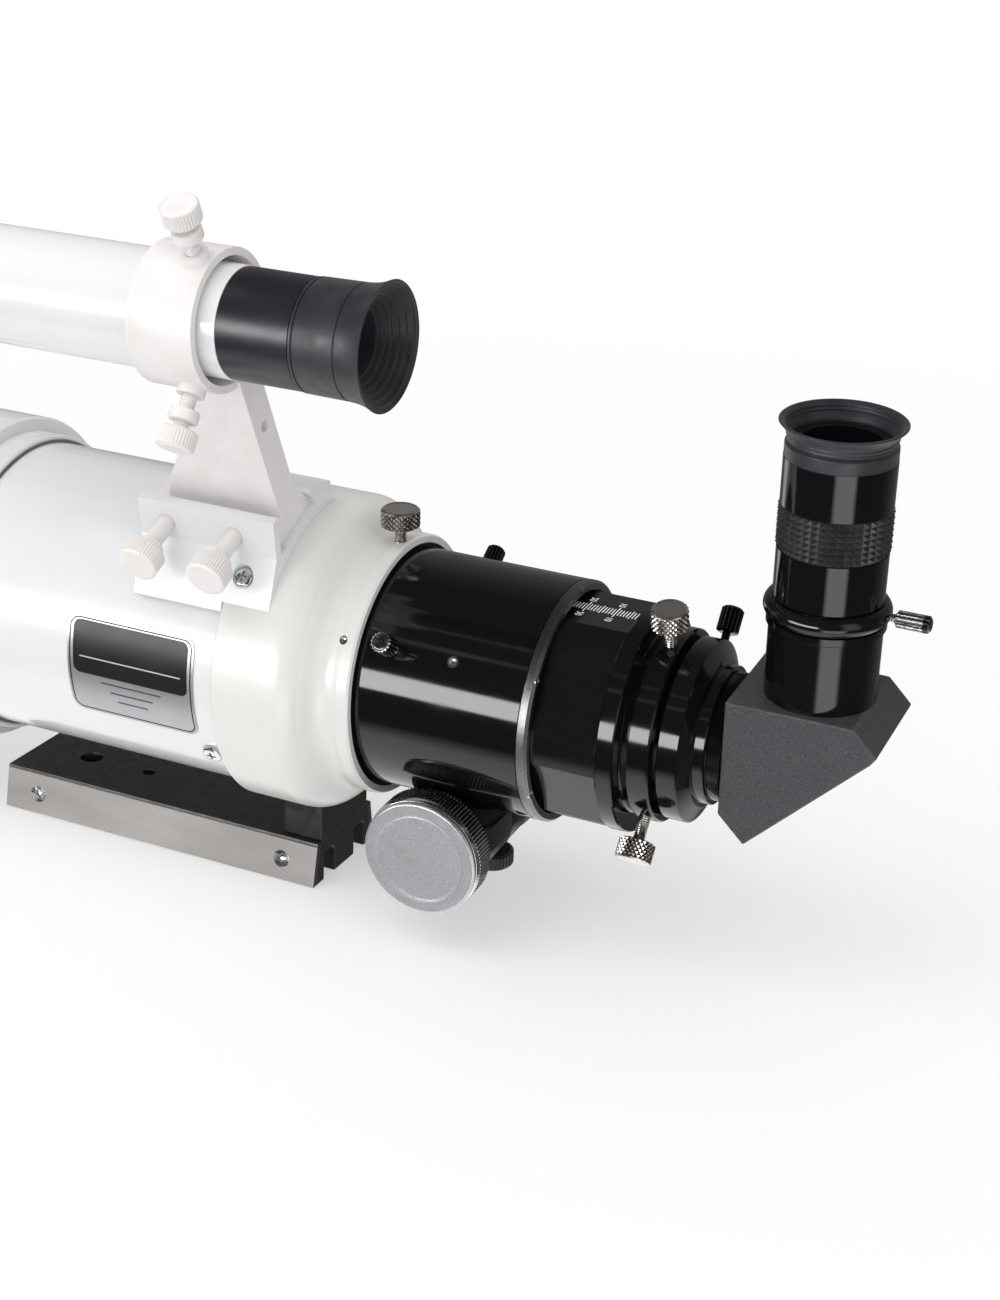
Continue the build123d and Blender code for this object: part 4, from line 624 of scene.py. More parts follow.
FLAT_BLACK = plain_finish("flat_black", (0.008, 0.008, 0.008), (0.008, 0.008, 0.008),
                          (0.5, 3.0, EVEN, 0.03), (6, 2.0, 0, 0.3), (4, 3.0, 0.75, 0.95),
                          specular_ior_level=0.25)
FELT = felt()
BRASS = plain_finish("brass", (0.62, 0.44, 0.19), (0.35, 0.23, 0.10),
                     (0.4, 3.0, (0.1, 1, 1), 0.004), (5, 4.0, 0, 1), (3, 4.0, 0.18, 0.4), 1.0)
BEARING = plain_finish("bearing_plastic", (0.75, 0.75, 0.73), (0.75, 0.75, 0.73),
                       (0.6, 2.0, EVEN, 0.01), (5, 2.0, 0, 0.3), (3, 3.0, 0.28, 0.45),
                       subsurface_weight=0.1, subsurface_scale=0.001)
FRONT_GLASS = lens_glass("front_glass", (0.35, 0.75, 0.55))
EYE_GLASS = lens_glass("eye_glass", (0.45, 0.4, 0.85))
MIRROR = mirror()
LABEL = label_foil()
INK = ((0.2, 2.0, EVEN, 0.003), (0.8, 4.0, 0, 0.3), (1.0, 3.0, 0.42, 0.6))
WHITE_INK = plain_finish("white_ink", (0.95, 0.95, 0.93), (0.57, 0.57, 0.558), *INK)
SILVER_INK = plain_finish("silver_ink", (0.55, 0.55, 0.56), (0.33, 0.33, 0.336), *INK)
DARK_INK = plain_finish("dark_ink", (0.05, 0.05, 0.055), (0.03, 0.03, 0.033), *INK)


# ---- CAD nodes that keep their shape -------------------------------------------------------

def finish_node(node, material, edge):
    """Gives a CAD node its material and, if wanted, rounded edges in mm."""
    piece = NODES[node]
    piece.data.materials.clear()
    piece.data.materials.append(material)
    if edge:
        piece.modifiers.new("weld", "WELD").merge_threshold = 0.000002
        bevel = piece.modifiers.new("bevel", "BEVEL")
        bevel.width = edge * MM
        bevel.segments = 2
        bevel.limit_method = "ANGLE"
        bevel.angle_limit = radians(32)
        bevel.harden_normals = True


KEPT_NODES = (
    (TUBE_WHITE, "tube"), (SHIELD_WHITE, "dew_shield", "finder_tube"),
    (CASTING_WHITE, "rear_casting"), (SHOE_WHITE, "finder_shoe"), (IVORY, "finder_bracket"),
    (LABEL, "label_plate"), (FLAT_BLACK, "baffles"), (FELT, "dew_shield_felt"),
    (RING_BLACK, "lens_cell", "lens_retainer", "visual_back", "eyepiece_adapter"),
    (FRONT_GLASS, "crown_lens", "flint_lens"), (RAIL_BLACK, "dovetail_rail", "rail_foot"),
    (EYE_GLASS, "finder_objective", "finder_eye_lens", "eyepiece_lenses"),
    (STEEL, "rail_strips"), (CUP_RUBBER, "finder_o_ring"), (FINDER_BLACK, "finder_rear_barrel"),
    (HOUSING_BLACK, "focuser_housing", "pinion_block"), (RING_GREY, "focuser_end_ring"),
    (BEARING, "drawtube_guides"), (DRAW_BLACK, "drawtube"), (BRASS, "rack", "clamp_band"),
    (CHROME, "pinion_shaft", "diagonal_nosepiece", "eyepiece_barrel"),
    (WRINKLE, "diagonal_body", "diagonal_cover"), (MIRROR, "diagonal_mirror"),
    (HOLDER_BLACK, "eyepiece_holder"), (EYEPIECE_BLACK, "eyepiece_body"),
)
ROUNDED = {
    "dew_shield": 0.25, "finder_tube": 0.2, "finder_shoe": 0.35, "finder_bracket": 0.5,
    "lens_retainer": 0.1, "dovetail_rail": 0.35, "rail_foot": 0.5, "pinion_block": 0.4,
    "diagonal_body": 0.3, "diagonal_cover": 0.2, "diagonal_mirror": 0.2,
    "diagonal_nosepiece": 0.15, "eyepiece_barrel": 0.15,
}
for kept_finish, *kept_nodes in KEPT_NODES:
    for kept in kept_nodes:
        finish_node(kept, kept_finish, ROUNDED.get(kept, 0))


# ---- Thumbscrews ---------------------------------------------------------------------------

FACE_DROP = 0.2       # the turned end face lies this far below its rim


def thumbscrew(node, joint, finish, style, ribs, depth, step):
    """Thumbscrew with a threaded stem and a patterned head with a turned end face."""
    at, axis = hinge(joint)
    tip, foot, top, stem_r, head_r = screw_sizes(node, at, axis)
    face = top - FACE_DROP
    per_rib = 4 if style == "ribs" else 2
    rows = plain([(tip, 0), (tip, stem_r * 0.7), (tip + 0.4, stem_r)])
    rows += thread_rows(tip + 0.6, foot - 0.3, stem_r)
    rows += plain([(foot - 0.1, stem_r * 0.9), (foot, stem_r), (foot, head_r - 1.1),
                   (foot + 0.25, head_r - 0.7)])
    rows += patterned(foot + 0.6, top - 0.75, head_r, depth, style, step)
    rows += plain([(top - 0.45, head_r - 0.45), (top - 0.12, head_r - 0.75),
                   (top, head_r - 1.05), (top, head_r - 1.3), (face, head_r - 1.6),
                   (face, head_r * 0.3), (face, 0)])
    mesh = turned_mesh(rows, per_rib * ribs)
    return show(node, mesh, JOINTS[joint]["child"], [finish], [node], placed(at, axis), sharp=28)


DIAMONDS = (NICKEL, "diamond", 22, 0.5, 0.85)
thumbscrew("rotation_lock", "rotation_lock_turn", *DIAMONDS)
thumbscrew("clamp_screw_upper", "clamp_upper_turn", *DIAMONDS)
thumbscrew("clamp_screw_lower", "clamp_lower_turn", *DIAMONDS)
side_lock = thumbscrew("side_lock_near", "side_lock_near_turn", BRIGHT_RIBS, "ribs", 16, 0.3, 1.2)
thumbscrew("side_lock_far", "side_lock_far_turn", BLACK_CHROME, "ribs", 16, 0.35, 1.2)
thumbscrew("adapter_screw", "adapter_screw_turn", BLACK_CHROME, "ribs", 15, 0.45, 1.5)
thumbscrew("tension_knob", "tension_turn", BLACK_RIBS, "ribs", 30, 0.35, 1.5)
holder_screw = thumbscrew("holder_screw", "holder_screw_turn", BRIGHT_RIBS, "ribs", 12, 0.35, 1.5)


def blacken_end(piece, finish, length):
    """Paints the last few mm of a turned piece."""
    piece.data.materials.append(finish)
    top = max(vertex.co.z for vertex in piece.data.vertices)
    for face in piece.data.polygons:
        if face.center.z > top - length * MM:
            face.material_index = 1


blacken_end(holder_screw, BLACK_CHROME, 1.6)
blacken_end(side_lock, BLACK_CHROME, 0.3)


def ivory_screw(node, joint, collar, ribs=44):
    """Plastic thumbscrew: threaded stem, collar and a finely ribbed head; collar is in mm."""
    at, axis = hinge(joint)
    tip, foot, top, _, head_r = screw_sizes(node, at, axis)
    found = heights_and_radii(corners_of(node), at, axis)
    stem_r = min(radius for height, radius in found if radius > 1 and height < foot - 4)
    low, high, collar_r = collar
    rows = plain([(tip, 0), (tip, stem_r * 0.8), (tip + 0.5, stem_r)])
    rows += thread_rows(tip + 0.7, low - 0.2, stem_r)
    rows += plain(softened([(low, stem_r), (low, collar_r - 0.5), (low + 0.6, collar_r),
                            (high - 0.5, collar_r), (high, collar_r - 0.6),
                            (high, min(stem_r, collar_r - 1))], 0.3, 2))
    if foot - high > 1.2:
        rows += thread_rows(high + 0.1, foot - 0.1, stem_r)
    rows += plain([(foot, stem_r), (foot, head_r - 0.9), (foot + 0.3, head_r - 0.45)])
    rows += patterned(foot + 0.6, top - 0.7, head_r, 0.28, "fine", 1.4)
    rows += plain([(top - 0.3, head_r - 0.45), (top - 0.05, head_r - 0.9), (top, head_r - 1.4),
                   (top - 0.1, head_r * 0.5), (top - 0.1, 0)])
    mesh = turned_mesh(rows, 2 * ribs)
    show(node, mesh, JOINTS[joint]["child"], [IVORY], [node], placed(at, axis), sharp=30)


SHOE_COLLAR = (25.0, 27.6, 4.8)
AIM_COLLAR = (28.6, 32.4, 4.6)
ivory_screw("shoe_clamp_front", "shoe_clamp_front_turn", SHOE_COLLAR)
ivory_screw("shoe_clamp_rear", "shoe_clamp_rear_turn", SHOE_COLLAR)
ivory_screw("aim_screw_near", "aim_near_turn", AIM_COLLAR, 36)
ivory_screw("aim_screw_far", "aim_far_turn", AIM_COLLAR, 36)
ivory_screw("aim_screw_top", "aim_top_turn", AIM_COLLAR, 36)


# ---- Focus knobs ---------------------------------------------------------------------------

KNOB_RIBS = 104
KNOB_BAND = 2.1       # bright turned band between the ribs and the face
KNOB_LIP = 1.3
KNOB_RIB_DEPTH = 0.7
KNOB_DISC = 0.75      # the face's disc, as a share of the knob's radius


def knob_mesh(out, knob_r):
    """Focus knob, its face up: sunk disc, rounded lip, groove, turned band and ribbed rim."""
    found = heights_and_radii(corners_of("focus_knobs"), FOCUS_AT, FOCUS_AXIS)
    inner = min(abs(height) for height, radius in found)
    shaft_r = min(radius for height, radius in found if radius > 1)
    disc_r = KNOB_DISC * knob_r
    lip = out - KNOB_LIP
    band = lip - KNOB_BAND
    rows = plain(softened([(out - 1.5, 0), (out - 1.5, shaft_r), (inner, shaft_r),
                           (inner, knob_r - 1.6), (inner + 0.8, knob_r - 0.8)], 0.25))
    rows += patterned(inner + 1.0, band - 0.2, knob_r, KNOB_RIB_DEPTH, "ribs", 2.0)
    rows += plain([(band, knob_r - 0.25)] + softened(
        [(band + 0.1, knob_r - 0.15), (lip - 0.3, knob_r - 0.5), (lip - 0.3, knob_r - 1.3),
         (lip, knob_r - 1.3), (lip, knob_r - 0.5), (out - 0.6, knob_r - 0.5),
         (out, knob_r - 1.3), (out, disc_r), (out - 0.45, disc_r - 0.15),
         (out - 0.45, disc_r - 0.55), (out - 0.25, disc_r - 0.65), (out - 0.25, 0)], 0.22))
    return turned_mesh(rows, 4 * KNOB_RIBS)


def show_knobs():
    """Both knobs: blasted faces, bright ribs and turned bands."""
    low, out, knob_r = measured(corners_of("focus_knobs"), FOCUS_AT, FOCUS_AXIS)
    knobs = joined([(knob_mesh(out, knob_r), placed(FOCUS_AT, FOCUS_AXIS * side))
                    for side in (1, -1)])
    piece = show("focus_knobs", knobs, "pinion", [SILVER, BRIGHT_RIBS], ["focus_knobs"], sharp=30)
    centres = [face.center for face in piece.data.polygons]
    places = heights_and_radii(centres, FOCUS_AT, FOCUS_AXIS)
    for face, (height, radius) in zip(piece.data.polygons, places):
        if abs(height) < out - KNOB_LIP - 0.2 and radius > 0.9 * knob_r:      # ribs and band
            face.material_index = 1


show_knobs()


# ---- Eyepiece grip and eyecups -------------------------------------------------------------

EYE_AT = Vector((EYE_X, 0, 0))
GRIP_COLUMNS = 40
GRIP_DEPTH = 0.85     # height of a pyramid
GRIP_EDGE = 0.3
GRIP_SINK = 0.7       # the band's edges lie this far below its crests


def eyepiece_grip():
    """Rubber band with rows of small pyramids."""
    points = corners_of("eyepiece_grip")
    low, high, outer = measured(points, EYE_AT, EYE_UP)
    inner = min(radius for height, radius in heights_and_radii(points, EYE_AT, EYE_UP))
    base = outer - GRIP_SINK
    rows = plain([(high, inner), (low, inner), (low, (inner + outer) / 2), (low, base)])
    rows += patterned(low + GRIP_EDGE, high - GRIP_EDGE, outer + GRIP_EDGE, GRIP_DEPTH,
                      "pyramid", 1.0)
    rows += plain([(high, base)])
    mesh = turned_mesh(rows, 2 * GRIP_COLUMNS, closed=True)
    show("eyepiece_grip", mesh, "eyepiece", [GRIP_RUBBER], ["eyepiece_grip"],
         placed(EYE_AT, EYE_UP), sharp=20, weighted=False)


CUP_COLUMNS = 128
CUP_STEPS = 5         # rings inside the flare
CUP_FOOT_R = 16.7
CUP_WAIST_R = 15.5
CUP_BORE_R = 15.3
CUP_LIP = 0.45


def cup_outline(low, high, rim_r):
    """Closed section of a flared eyecup with stepped rings inside, seen as (height, radius)."""
    depth = high - low
    waist = low + depth * 0.44
    outer = [(low, CUP_FOOT_R), (low + depth * 0.36, CUP_FOOT_R),
             (low + depth * 0.42, CUP_FOOT_R - 0.7), (waist, CUP_WAIST_R)]
    for share in (0.15, 0.35, 0.55, 0.75, 0.9, 1.0):
        outer.append((waist + depth * 0.5 * share,
                      CUP_WAIST_R + (rim_r - CUP_WAIST_R) * share ** 1.7))
    outer += [(high - 0.35, rim_r), (high, rim_r - CUP_LIP), (high - 0.25, rim_r - 1.0)]
    inner = []
    for step in range(CUP_STEPS):
        share = step / CUP_STEPS
        height = high - 0.9 - (depth * 0.55) * share
        radius = rim_r - 1.7 - (rim_r - CUP_BORE_R - 2.6) * share ** 0.8
        inner += [(height, radius), (height - depth * 0.05, radius - 0.35)]
    inner += [(low + depth * 0.34, CUP_BORE_R), (low, CUP_BORE_R)]
    return outer + inner


def eyepiece_cup():
    """Flared rubber eyecup of the eyepiece."""
    low, high, rim_r = measured(corners_of("eyepiece_eyecup"), EYE_AT, EYE_UP)
    outline = cup_outline(low, high, rim_r)
    mesh = turned_mesh(plain(softened(outline, 0.25, 3) + [outline[0]]), CUP_COLUMNS, closed=True)
    show("eyepiece_eyecup", mesh, "eyepiece", [CUP_RUBBER], ["eyepiece_eyecup"],
         placed(EYE_AT, EYE_UP), sharp=60)


FINDER_BAND_R = 16.95
FINDER_BAND = 23.7    # from the cup's rim to the front of its straight band
FINDER_FLARE = 8.9    # from the rim to the start of the flare
FINDER_FLARE_R = 17.2
FINDER_BORE_R = 11.1
FINDER_FOOT_R = 14.4
FINDER_STEPS = 6
FINDER_STEPS_DEEP = 10.6
FINDER_STEPS_WIDE = 8.2


def finder_cup():
    """Finder eyecup: straight band with a fine groove, then a flare with stepped rings inside."""
    low, high, rim_r = measured(corners_of("finder_eyecup"), FINDER_AT, OPTICAL)
    band, flare, band_r = high - FINDER_BAND, high - FINDER_FLARE, FINDER_BAND_R
    outline = [(low, FINDER_FOOT_R), (band, FINDER_FOOT_R), (band, band_r - 0.05),
               (band + 0.9, band_r), (band + 1.0, band_r - 0.45), (band + 1.4, band_r - 0.45),
               (band + 1.5, band_r), (flare - 0.4, band_r + 0.2), (flare - 0.3, band_r - 0.15),
               (flare + 0.1, band_r - 0.15), (flare + 0.2, FINDER_FLARE_R)]
    for share in (0.25, 0.45, 0.65, 0.82, 0.95):
        outline.append((flare + FINDER_FLARE * share,
                        FINDER_FLARE_R + (rim_r - FINDER_FLARE_R) * share ** 2))
    outline += [(high - 0.15, rim_r), (high, rim_r - 0.3), (high - 0.1, rim_r - 0.7)]
    for step in range(FINDER_STEPS):
        share = step / FINDER_STEPS
        height = high - 0.8 - FINDER_STEPS_DEEP * share
        radius = rim_r - 1.2 - FINDER_STEPS_WIDE * share
        outline += [(height, radius), (height - 0.15, radius - 0.9)]
    floor = high - 15.4
    outline += [(floor, FINDER_BORE_R - 0.7), (floor, FINDER_BORE_R), (low, FINDER_BORE_R)]
    mesh = turned_mesh(plain(softened(outline, 0.2, 2) + [outline[0]]), CUP_COLUMNS, closed=True)
    show("finder_eyecup", mesh, "finder_eyepiece", [CUP_RUBBER], ["finder_eyecup"],
         placed(FINDER_AT, OPTICAL), sharp=40)


eyepiece_grip()
eyepiece_cup()
finder_cup()


# ---- Small screws --------------------------------------------------------------------------

def cross_outline(reach, width):
    """Outline of a cross with four equal arms."""
    arm = [(reach, -width), (reach, width), (width, width)]
    points = []
    for turn in range(4):
        co, si = round(cos(turn * pi / 2)), round(sin(turn * pi / 2))
        points += [(x * co - y * si, x * si + y * co) for x, y in arm]
    return points


def cross_head(tip, seat, stem_r, head_r, head_h):
    """Pan-head screw with a cross recess."""
    dome = [(seat + head_h * (1 - (1 - share) ** 2 * 0.62) * 0.98, head_r * sqrt(1 - share ** 2.2))
            for share in (0.3, 0.5, 0.68, 0.82, 0.92)]
    outline = [(tip, 0), (tip, stem_r), (seat, stem_r), (seat, head_r), (seat + head_h * 0.35, head_r)]
    mesh = turned_mesh(plain(outline + dome + [(seat + head_h, 0)]), 48)
    recess = prism(cross_outline(head_r * 0.6, head_r * 0.13), seat + head_h * 0.25,
                   seat + head_h + 1, 0.7)
    return carved(mesh, recess)


def socket_head(tip, seat, top, stem_r, foot_r, head_r, socket_r, sink):
    """Screw with a hexagon socket; its head widens from foot to top."""
    rows = plain([(tip, 0), (tip, stem_r), (seat, stem_r), (seat, foot_r), (top - 0.12, head_r),
                  (top, head_r - 0.12)])
    rows += [(top, socket_r + 0.12, 0, "hex"), (top - 0.12, socket_r, 0, "hex"),
             (top - sink, socket_r, 0, "hex")] + plain([(top - sink - 0.3, 0)])
    return turned_mesh(rows, 48)


def islands(node):
    """Centres of a CAD node's separate solids."""
    mesh = bmesh.new()
    mesh.from_mesh(NODES[node].data)
    bmesh.ops.remove_doubles(mesh, verts=mesh.verts, dist=0.000002)
    left, found = set(mesh.verts), []
    while left:
        grown = [left.pop()]
        for vertex in grown:
            for edge in vertex.link_edges:
                other = edge.other_vert(vertex)
                if other in left:
                    left.remove(other)
                    grown.append(other)
        points = [vertex.co.copy() for vertex in grown]
        low = Vector([min(point[axis] for point in points) for axis in range(3)])
        high = Vector([max(point[axis] for point in points) for axis in range(3)])
        found.append(((low + high) / 2, points))
    mesh.free()
    return sorted(found, key=lambda item: tuple(round(value, 5) for value in item[0]))


def screw_group(node, body, make):
    """Replaces a node of small screws; make gives each one's mesh, origin and axis."""
    parts = []
    for centre, points in islands(node):
        mesh, at, axis = make(centre, points)
        parts.append((mesh, placed(at, axis)))
    show(node, joined(parts), body, [CHROME], [node], sharp=30)


def outward(centre):
    """Origin on the optical axis and direction of a screw that points out from it."""
    return Vector((centre.x, 0, 0)), Vector((0, centre.y, centre.z)).normalized()


PAN_STEM_R = 1.6
PAN_HIGH, SHOE_PAN_HIGH = 1.7, 1.9
SET_SOCKET_R, SET_SOCKET_DEEP = 0.85, 1.4
CAP_HIGH, CAP_STEM_R, CAP_SOCKET_DEEP = 2.7, 1.5, 1.5
RING_HEAD_HIGH, RING_SOCKET_DEEP = 1.0, 0.7
BOLT_HIGH, BOLT_STEM_R, BOLT_SOCKET_R, BOLT_SOCKET_DEEP = 4.2, 2.5, 2.0, 2.2
STRIP_HIGH, STRIP_STEM_R, STRIP_SOCKET_R, STRIP_SOCKET_DEEP = 1.6, 1.5, 1.1, 1.2
STRIP_SLOPE = radians(10)      # lean of the rail's sides


def casting_screw(centre, points):
    """Large pan-head screws hold the casting; the small ones in its rim are set screws."""
    at, axis = outward(centre)
    low, high, radius = measured(points, at, axis)
    if radius > 2:
        return cross_head(low, high - PAN_HIGH, PAN_STEM_R, radius, PAN_HIGH), at, axis
    return socket_head(low, low + 0.2, high + 0.25, radius, radius, radius, SET_SOCKET_R,
                       SET_SOCKET_DEEP), at, axis


def shoe_screw(centre, points):
    """Pan-head screw that holds the finder shoe."""
    at, axis = outward(centre)
    low, high, radius = measured(points, at, axis)
    return cross_head(low, high - SHOE_PAN_HIGH, PAN_STEM_R, radius, SHOE_PAN_HIGH), at, axis


def focuser_screw(centre, points):
    """Set screw in the housing, or cap screw up into the pinion block."""
    at, axis = outward(centre)
    below = centre.dot(FOCUSER_UP) < -0.02
    if below:
        axis = -FOCUSER_UP
        at = centre - axis * centre.dot(axis)
    low, high, radius = measured(points, at, axis)
    seat, stem_r = (high - CAP_HIGH, CAP_STEM_R) if below else (low + 0.2, radius)
    return socket_head(low, seat, high, stem_r, radius, radius, radius * 0.5,
                       CAP_SOCKET_DEEP), at, axis


def end_ring_screw(centre, points):
    """Small socket screw in the rear face of the end ring."""
    at = Vector((0, centre.y, centre.z))
    low, high, radius = measured(points, at, OPTICAL)
    return socket_head(low, high - RING_HEAD_HIGH, high, radius * 0.6, radius, radius,
                       radius * 0.45, RING_SOCKET_DEEP), at, OPTICAL


def rail_screw(centre, points):
    """Countersunk socket screw in a strip, or the bolt up into the foot."""
    if abs(centre.y) < 0.005:
        at, axis = Vector((centre.x, 0, 0)), Vector((0, 0, -1))
        low, high, radius = measured(points, at, axis)
        return socket_head(low, high - BOLT_HIGH, high, BOLT_STEM_R, radius, radius,
                           BOLT_SOCKET_R, BOLT_SOCKET_DEEP), at, axis
    side = 1 if centre.y > 0 else -1
    axis = Vector((0, side * cos(STRIP_SLOPE), sin(STRIP_SLOPE)))
    low, high, radius = measured(points, centre, axis)
    return socket_head(low, high - STRIP_HIGH, high, STRIP_STEM_R, STRIP_STEM_R, radius,
                       STRIP_SOCKET_R, STRIP_SOCKET_DEEP), centre, axis


screw_group("casting_screws", "ota", casting_screw)
screw_group("shoe_screws", "ota", shoe_screw)
screw_group("focuser_screws", "focuser", focuser_screw)
screw_group("end_ring_screws", "focuser", end_ring_screw)
screw_group("rail_screws", "ota", rail_screw)


# ---- Scale on the drawtube and marks on the label ------------------------------------------

SCALE_ZERO = 22.4     # distance of the zero mark behind the end ring
SCALE_LENGTH = 60
TICK_HALF = 2.3
MIDDLE_HALF = 3.0
LONG_HALF = 4.0
LINE = 0.32
DIGIT = 3.3
DIGIT_GAP = 2.2       # from the end of a long mark to the middle of its number
PRINT = 0.02          # thickness of ink


def slab(low, high):
    """Thin block between two corners, in mm."""
    outline = [(low[0], low[1]), (high[0], low[1]), (high[0], high[1]), (low[0], high[1])]
    return prism(outline, low[2], high[2])


def digits(text, size):
    """Flat number, centred on the origin, in mm."""
    curve = bpy.data.curves.new("digits", "FONT")
    curve.body = text
    curve.size = size * MM
    curve.extrude = PRINT * MM / 2
    curve.resolution_u = 4
    curve.align_x, curve.align_y = "CENTER", "CENTER"
    holder = bpy.data.objects.new("digits", curve)
    bpy.context.scene.collection.objects.link(holder)
    bpy.context.view_layer.update()
    mesh = bpy.data.meshes.new_from_object(
        holder.evaluated_get(bpy.context.evaluated_depsgraph_get()))
    bpy.data.objects.remove(holder)
    return mesh


def drawtube_scale():
    """White millimetre scale with a number at each end of every tenth mark."""
    flat = max(vertex.dot(FOCUSER_UP) for vertex in corners_of("drawtube"))
    near = FOCUSER_UP.cross(OPTICAL)
    local = Matrix((OPTICAL, -near, FOCUSER_UP)).transposed().to_4x4()
    local.translation = FOCUSER_UP * flat
    turn = Matrix.Rotation(radians(90), 4, "Z")
    parts = []
    for mark in range(SCALE_LENGTH + 1):
        x = SCALE_ZERO - mark
        half = LONG_HALF if mark % 10 == 0 else MIDDLE_HALF if mark % 5 == 0 else TICK_HALF
        parts.append((slab((x - LINE / 2, -half, 0), (x + LINE / 2, half, PRINT)), local))
    for mark in range(0, SCALE_LENGTH + 1, 10):
        for side in (1, -1):
            y = side * (LONG_HALF + DIGIT_GAP)
            shift = Matrix.Translation(Vector((SCALE_ZERO - mark, y, PRINT / 2)) * MM)
            parts.append((digits(str(mark), DIGIT), local @ shift @ turn))
    marks = show("drawtube_scale", joined(parts), "draw", [WHITE_INK], sharp=30, weighted=False)


def curved_patch(left, right, low, high, radius, columns=8):
    """Ink patch bent round the optical axis on the near side; low and high are heights in mm."""
    corners, faces = [], []
    for layer in (radius, radius + PRINT):
        for column in range(columns + 1):
            z = low + (high - low) * column / columns
            y = -sqrt(layer ** 2 - z ** 2)
            corners += [(left * MM, y * MM, z * MM), (right * MM, y * MM, z * MM)]
    count = 2 * (columns + 1)
    for column in range(columns):
        a = 2 * column
        faces += [[a, a + 1, a + 3, a + 2], [count + a + 2, count + a + 3, count + a + 1, count + a],
                  [a, a + 2, count + a + 2, count + a], [a + 1, count + a + 1, count + a + 3, a + 3]]
    faces += [[0, count, count + 1, 1], [count - 2, count - 1, 2 * count - 1, 2 * count - 2]]
    mesh = bpy.data.meshes.new("patch")
    mesh.from_pydata(corners, [], faces)
    return mesh


def label_rules(name, finish, rules):
    """Plain rules on the label; each has its ends, its height and its thickness as shares."""
    low, high = (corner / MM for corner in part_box("label_plate"))
    width, height = high.x - low.x, high.z - low.z
    radius = max(sqrt(vertex.y ** 2 + vertex.z ** 2) for vertex in corners_of("label_plate")) / MM
    parts = []
    for start, end, middle, thick in rules:
        patch = curved_patch(low.x + width * start, low.x + width * end,
                             low.z + height * (middle - thick / 2),
                             low.z + height * (middle + thick / 2), radius)
        parts.append((patch, Matrix.Identity(4)))
    marks = show(name, joined(parts), "ota", [finish], sharp=30, weighted=False)


drawtube_scale()
label_rules("label_light_rules", SILVER_INK, [(0.10, 0.90, 0.60, 0.012)])
label_rules("label_dark_rules", DARK_INK,
            [(0.26, 0.74, 0.36, 0.016), (0.33, 0.67, 0.27, 0.016), (0.38, 0.62, 0.18, 0.016)])


# ---- Floor, light and camera ---------------------------------------------------------------

CAMERA_AT = Vector((0.2335, -0.5994, 0.2817))
CAMERA_AZIMUTH, CAMERA_ELEVATION, CAMERA_ROLL = 23.54, 22.40, 2.86
LENS_MM = 59.97
FLOOR_R = 8000
FLOOR_SOFT = (0.30, 0.85)    # metres over which the floor fades into the white background


def floor_paint():
    """Plain pale paint that takes soft shadows near the telescope and fades to white."""
    finish = Finish("floor_paint", (0.9, 0.9, 0.9), 0.9, specular_ior_level=0.0)
    far = finish.node("VectorMath", {0: finish.space}, operation="LENGTH").outputs["Value"]
    share = finish.ranged(far, *FLOOR_SOFT, 0.45, 1.0)
    camera = finish.node("LightPath").outputs["Is Camera Ray"]
    white = finish.node("Emission", {"Color": (1, 1, 1, 1), "Strength": 1.0})
    both = finish.node("MixShader", {0: finish.maths("MULTIPLY", share, camera),
                                     1: finish.surface.outputs[0], 2: white.outputs[0]})
    finish.feed(finish.tree.nodes["Material Output"].inputs["Surface"], both.outputs[0])
    return finish.material


def make_floor():
    """Large round floor under the lowest point of the telescope; mirrors see past it."""
    mesh = turned_mesh(plain([(0, FLOOR_R), (0, 0)]), 64)
    floor = bpy.data.objects.new("floor", mesh)
    floor.data.materials.append(floor_paint())
    bpy.context.scene.collection.objects.link(floor)
    floor.location = (0, 0, CAD_BOX[0].z - 0.0005)
    floor.visible_glossy = False


KEY_AT = Vector((-0.35, -0.55, 1.0))
KEY_SIZE = 0.8
KEY_POWER = 4.0


def make_key():
    """Soft square lamp aimed at the focuser, unseen in reflections."""
    lamp = bpy.data.lights.new("key", "AREA")
    lamp.shape = "SQUARE"
    lamp.size = KEY_SIZE
    lamp.energy = KEY_POWER
    holder = bpy.data.objects.new("key", lamp)
    bpy.context.scene.collection.objects.link(holder)
    holder.location = KEY_AT
    holder.visible_glossy = False
    holder.rotation_mode = "QUATERNION"
    holder.rotation_quaternion = (-KEY_AT).to_track_quat("-Z", "Y")


# What polished parts mirror. Middle and half width in azimuth, middle and half height in
# elevation, all in degrees, softness of the border, and brightness.
SOFT_BOXES = (
    (-24, 26, 3, 8, 0.8, 11.0),       # long strip light on the near side
    (30, 21, -25, 12, 4, 2.6),        # bright table to the right
    (-108, 20, -22, 14, 5, 1.5),      # bright table to the left
    (-60, 60, 41, 1.2, 1.0, 0.5),     # thin lamp edges overhead
    (-60, 60, 55, 0.8, 1.0, 0.35),
    (60, 14, 20, 30, 6, 0.9),
)
DARK_ROOM = 0.06
TABLE, TABLE_EDGE = 1.3, (-46, -34)
WALL, WALL_TOP, WALL_FOOT = 0.15, (28, 62), (-30, -10)
DOME = (0.60, 0.82)          # light on matt parts from below and from above
NEAR_BOOST = 0.62            # more of it from the near side


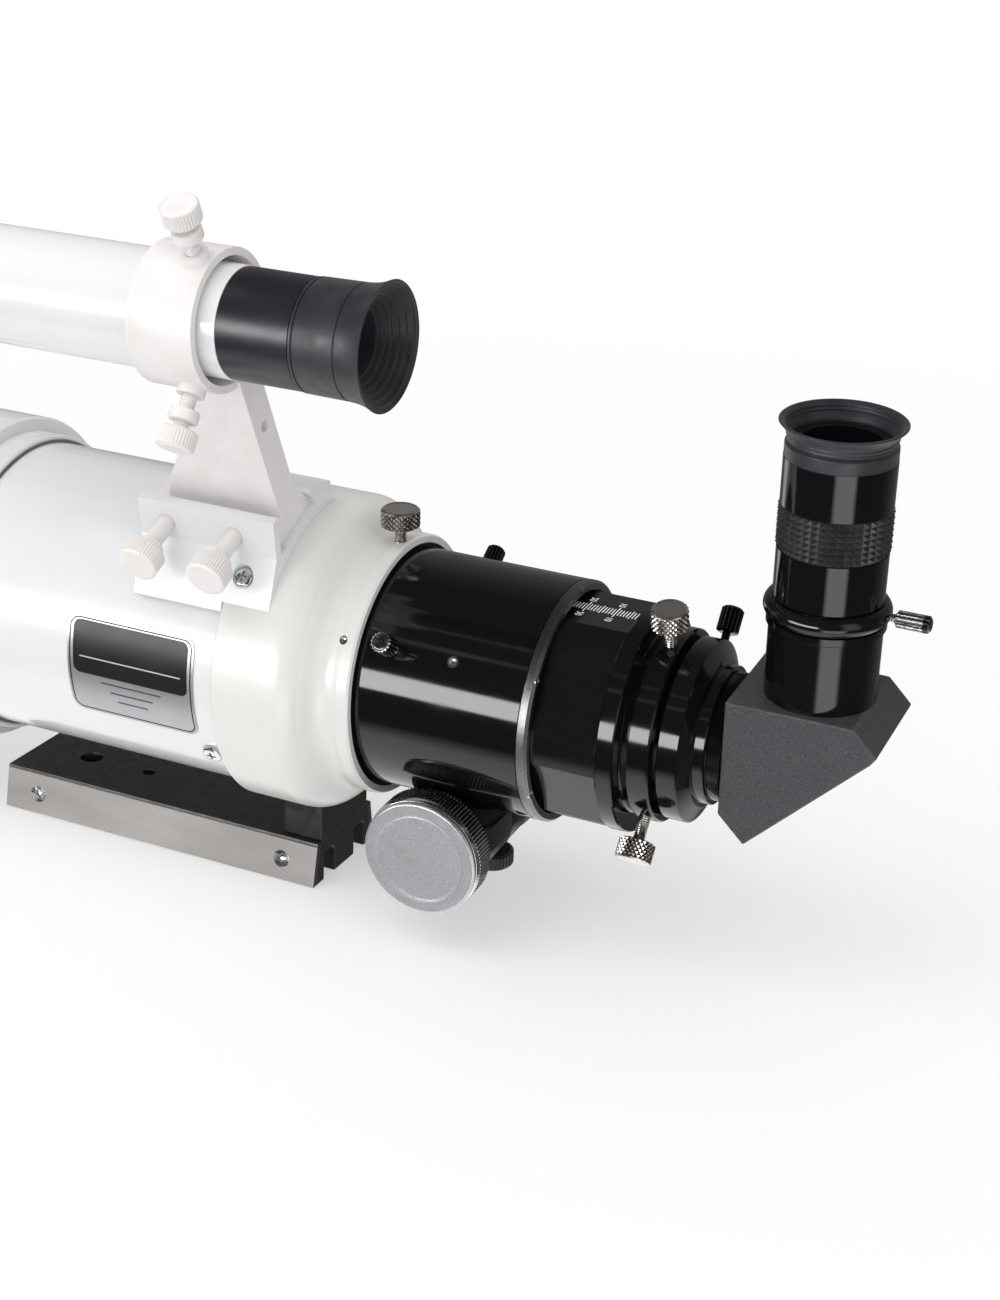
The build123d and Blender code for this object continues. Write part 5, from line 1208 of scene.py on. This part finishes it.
def make_world():
    """White to the camera, a soft dome to matt parts, and a dark studio with soft boxes to
    polished parts."""
    world = bpy.data.worlds.new("studio")
    bpy.context.scene.world = world
    world.use_nodes = True
    sky = Nodes(world.node_tree)
    place = sky.node("SeparateXYZ", {0: sky.node("TexCoord").outputs["Generated"]})
    back = sky.maths("MULTIPLY", place.outputs["Y"], -1.0)
    azimuth = sky.maths("DEGREES", sky.maths("ARCTAN2", place.outputs["X"], back))
    elevation = sky.maths("DEGREES", sky.maths("ARCSINE", place.outputs["Z"]))

    def within(value, middle, half, soft):
        off = sky.maths("ABSOLUTE", sky.maths("SUBTRACT", value, middle))
        return sky.ranged(off, half - soft, half + soft, 1, 0)

    seen = sky.ranged(elevation, *TABLE_EDGE, TABLE, DARK_ROOM)
    behind = sky.maths("MULTIPLY", sky.ranged(place.outputs["Y"], 0.35, 0.75, 0, 1),
                       sky.ranged(elevation, *WALL_TOP, WALL, 0.1))
    seen = sky.maths("ADD", seen, sky.maths("MULTIPLY", behind,
                                            sky.ranged(elevation, *WALL_FOOT, 0.3, 1)))
    for middle, half, height, half_height, soft, power in SOFT_BOXES:
        box = sky.maths("MULTIPLY", within(azimuth, middle, half, soft),
                        within(elevation, height, half_height, soft))
        seen = sky.maths("ADD", seen, sky.maths("MULTIPLY", box, power))
    soft = sky.maths("ADD", sky.ranged(elevation, -20, 60, *DOME),
                     sky.maths("MULTIPLY", sky.ranged(back, -0.2, 0.9, 0, NEAR_BOOST),
                               sky.ranged(elevation, -30, 10, 0, 1)))
    path = sky.node("LightPath")
    glossy = sky.mixed(path.outputs["Is Glossy Ray"], soft, seen)
    shade = sky.mixed(path.outputs["Is Camera Ray"], glossy, (1.0, 1.0, 1.0))
    sky.feed(world.node_tree.nodes["Background"].inputs["Color"], shade)


def make_camera():
    """Camera above the near side, behind the eyepiece end."""
    azimuth, elevation = radians(CAMERA_AZIMUTH), radians(CAMERA_ELEVATION)
    back = Vector((sin(azimuth) * cos(elevation), -cos(azimuth) * cos(elevation), sin(elevation)))
    level = Vector((cos(azimuth), sin(azimuth), 0))
    axes = Matrix((level, back.cross(level), back)).transposed()
    camera = bpy.data.cameras.new("camera")
    camera.lens = LENS_MM
    camera.clip_start, camera.clip_end = 0.01, 50
    holder = bpy.data.objects.new("camera", camera)
    bpy.context.scene.collection.objects.link(holder)
    holder.matrix_world = (Matrix.Translation(CAMERA_AT) @ axes.to_4x4()
                           @ Matrix.Rotation(radians(CAMERA_ROLL), 4, "Z"))
    bpy.context.scene.camera = holder


make_floor()
make_world()
make_camera()
make_key()
bpy.context.scene.view_settings.view_transform = "Standard"
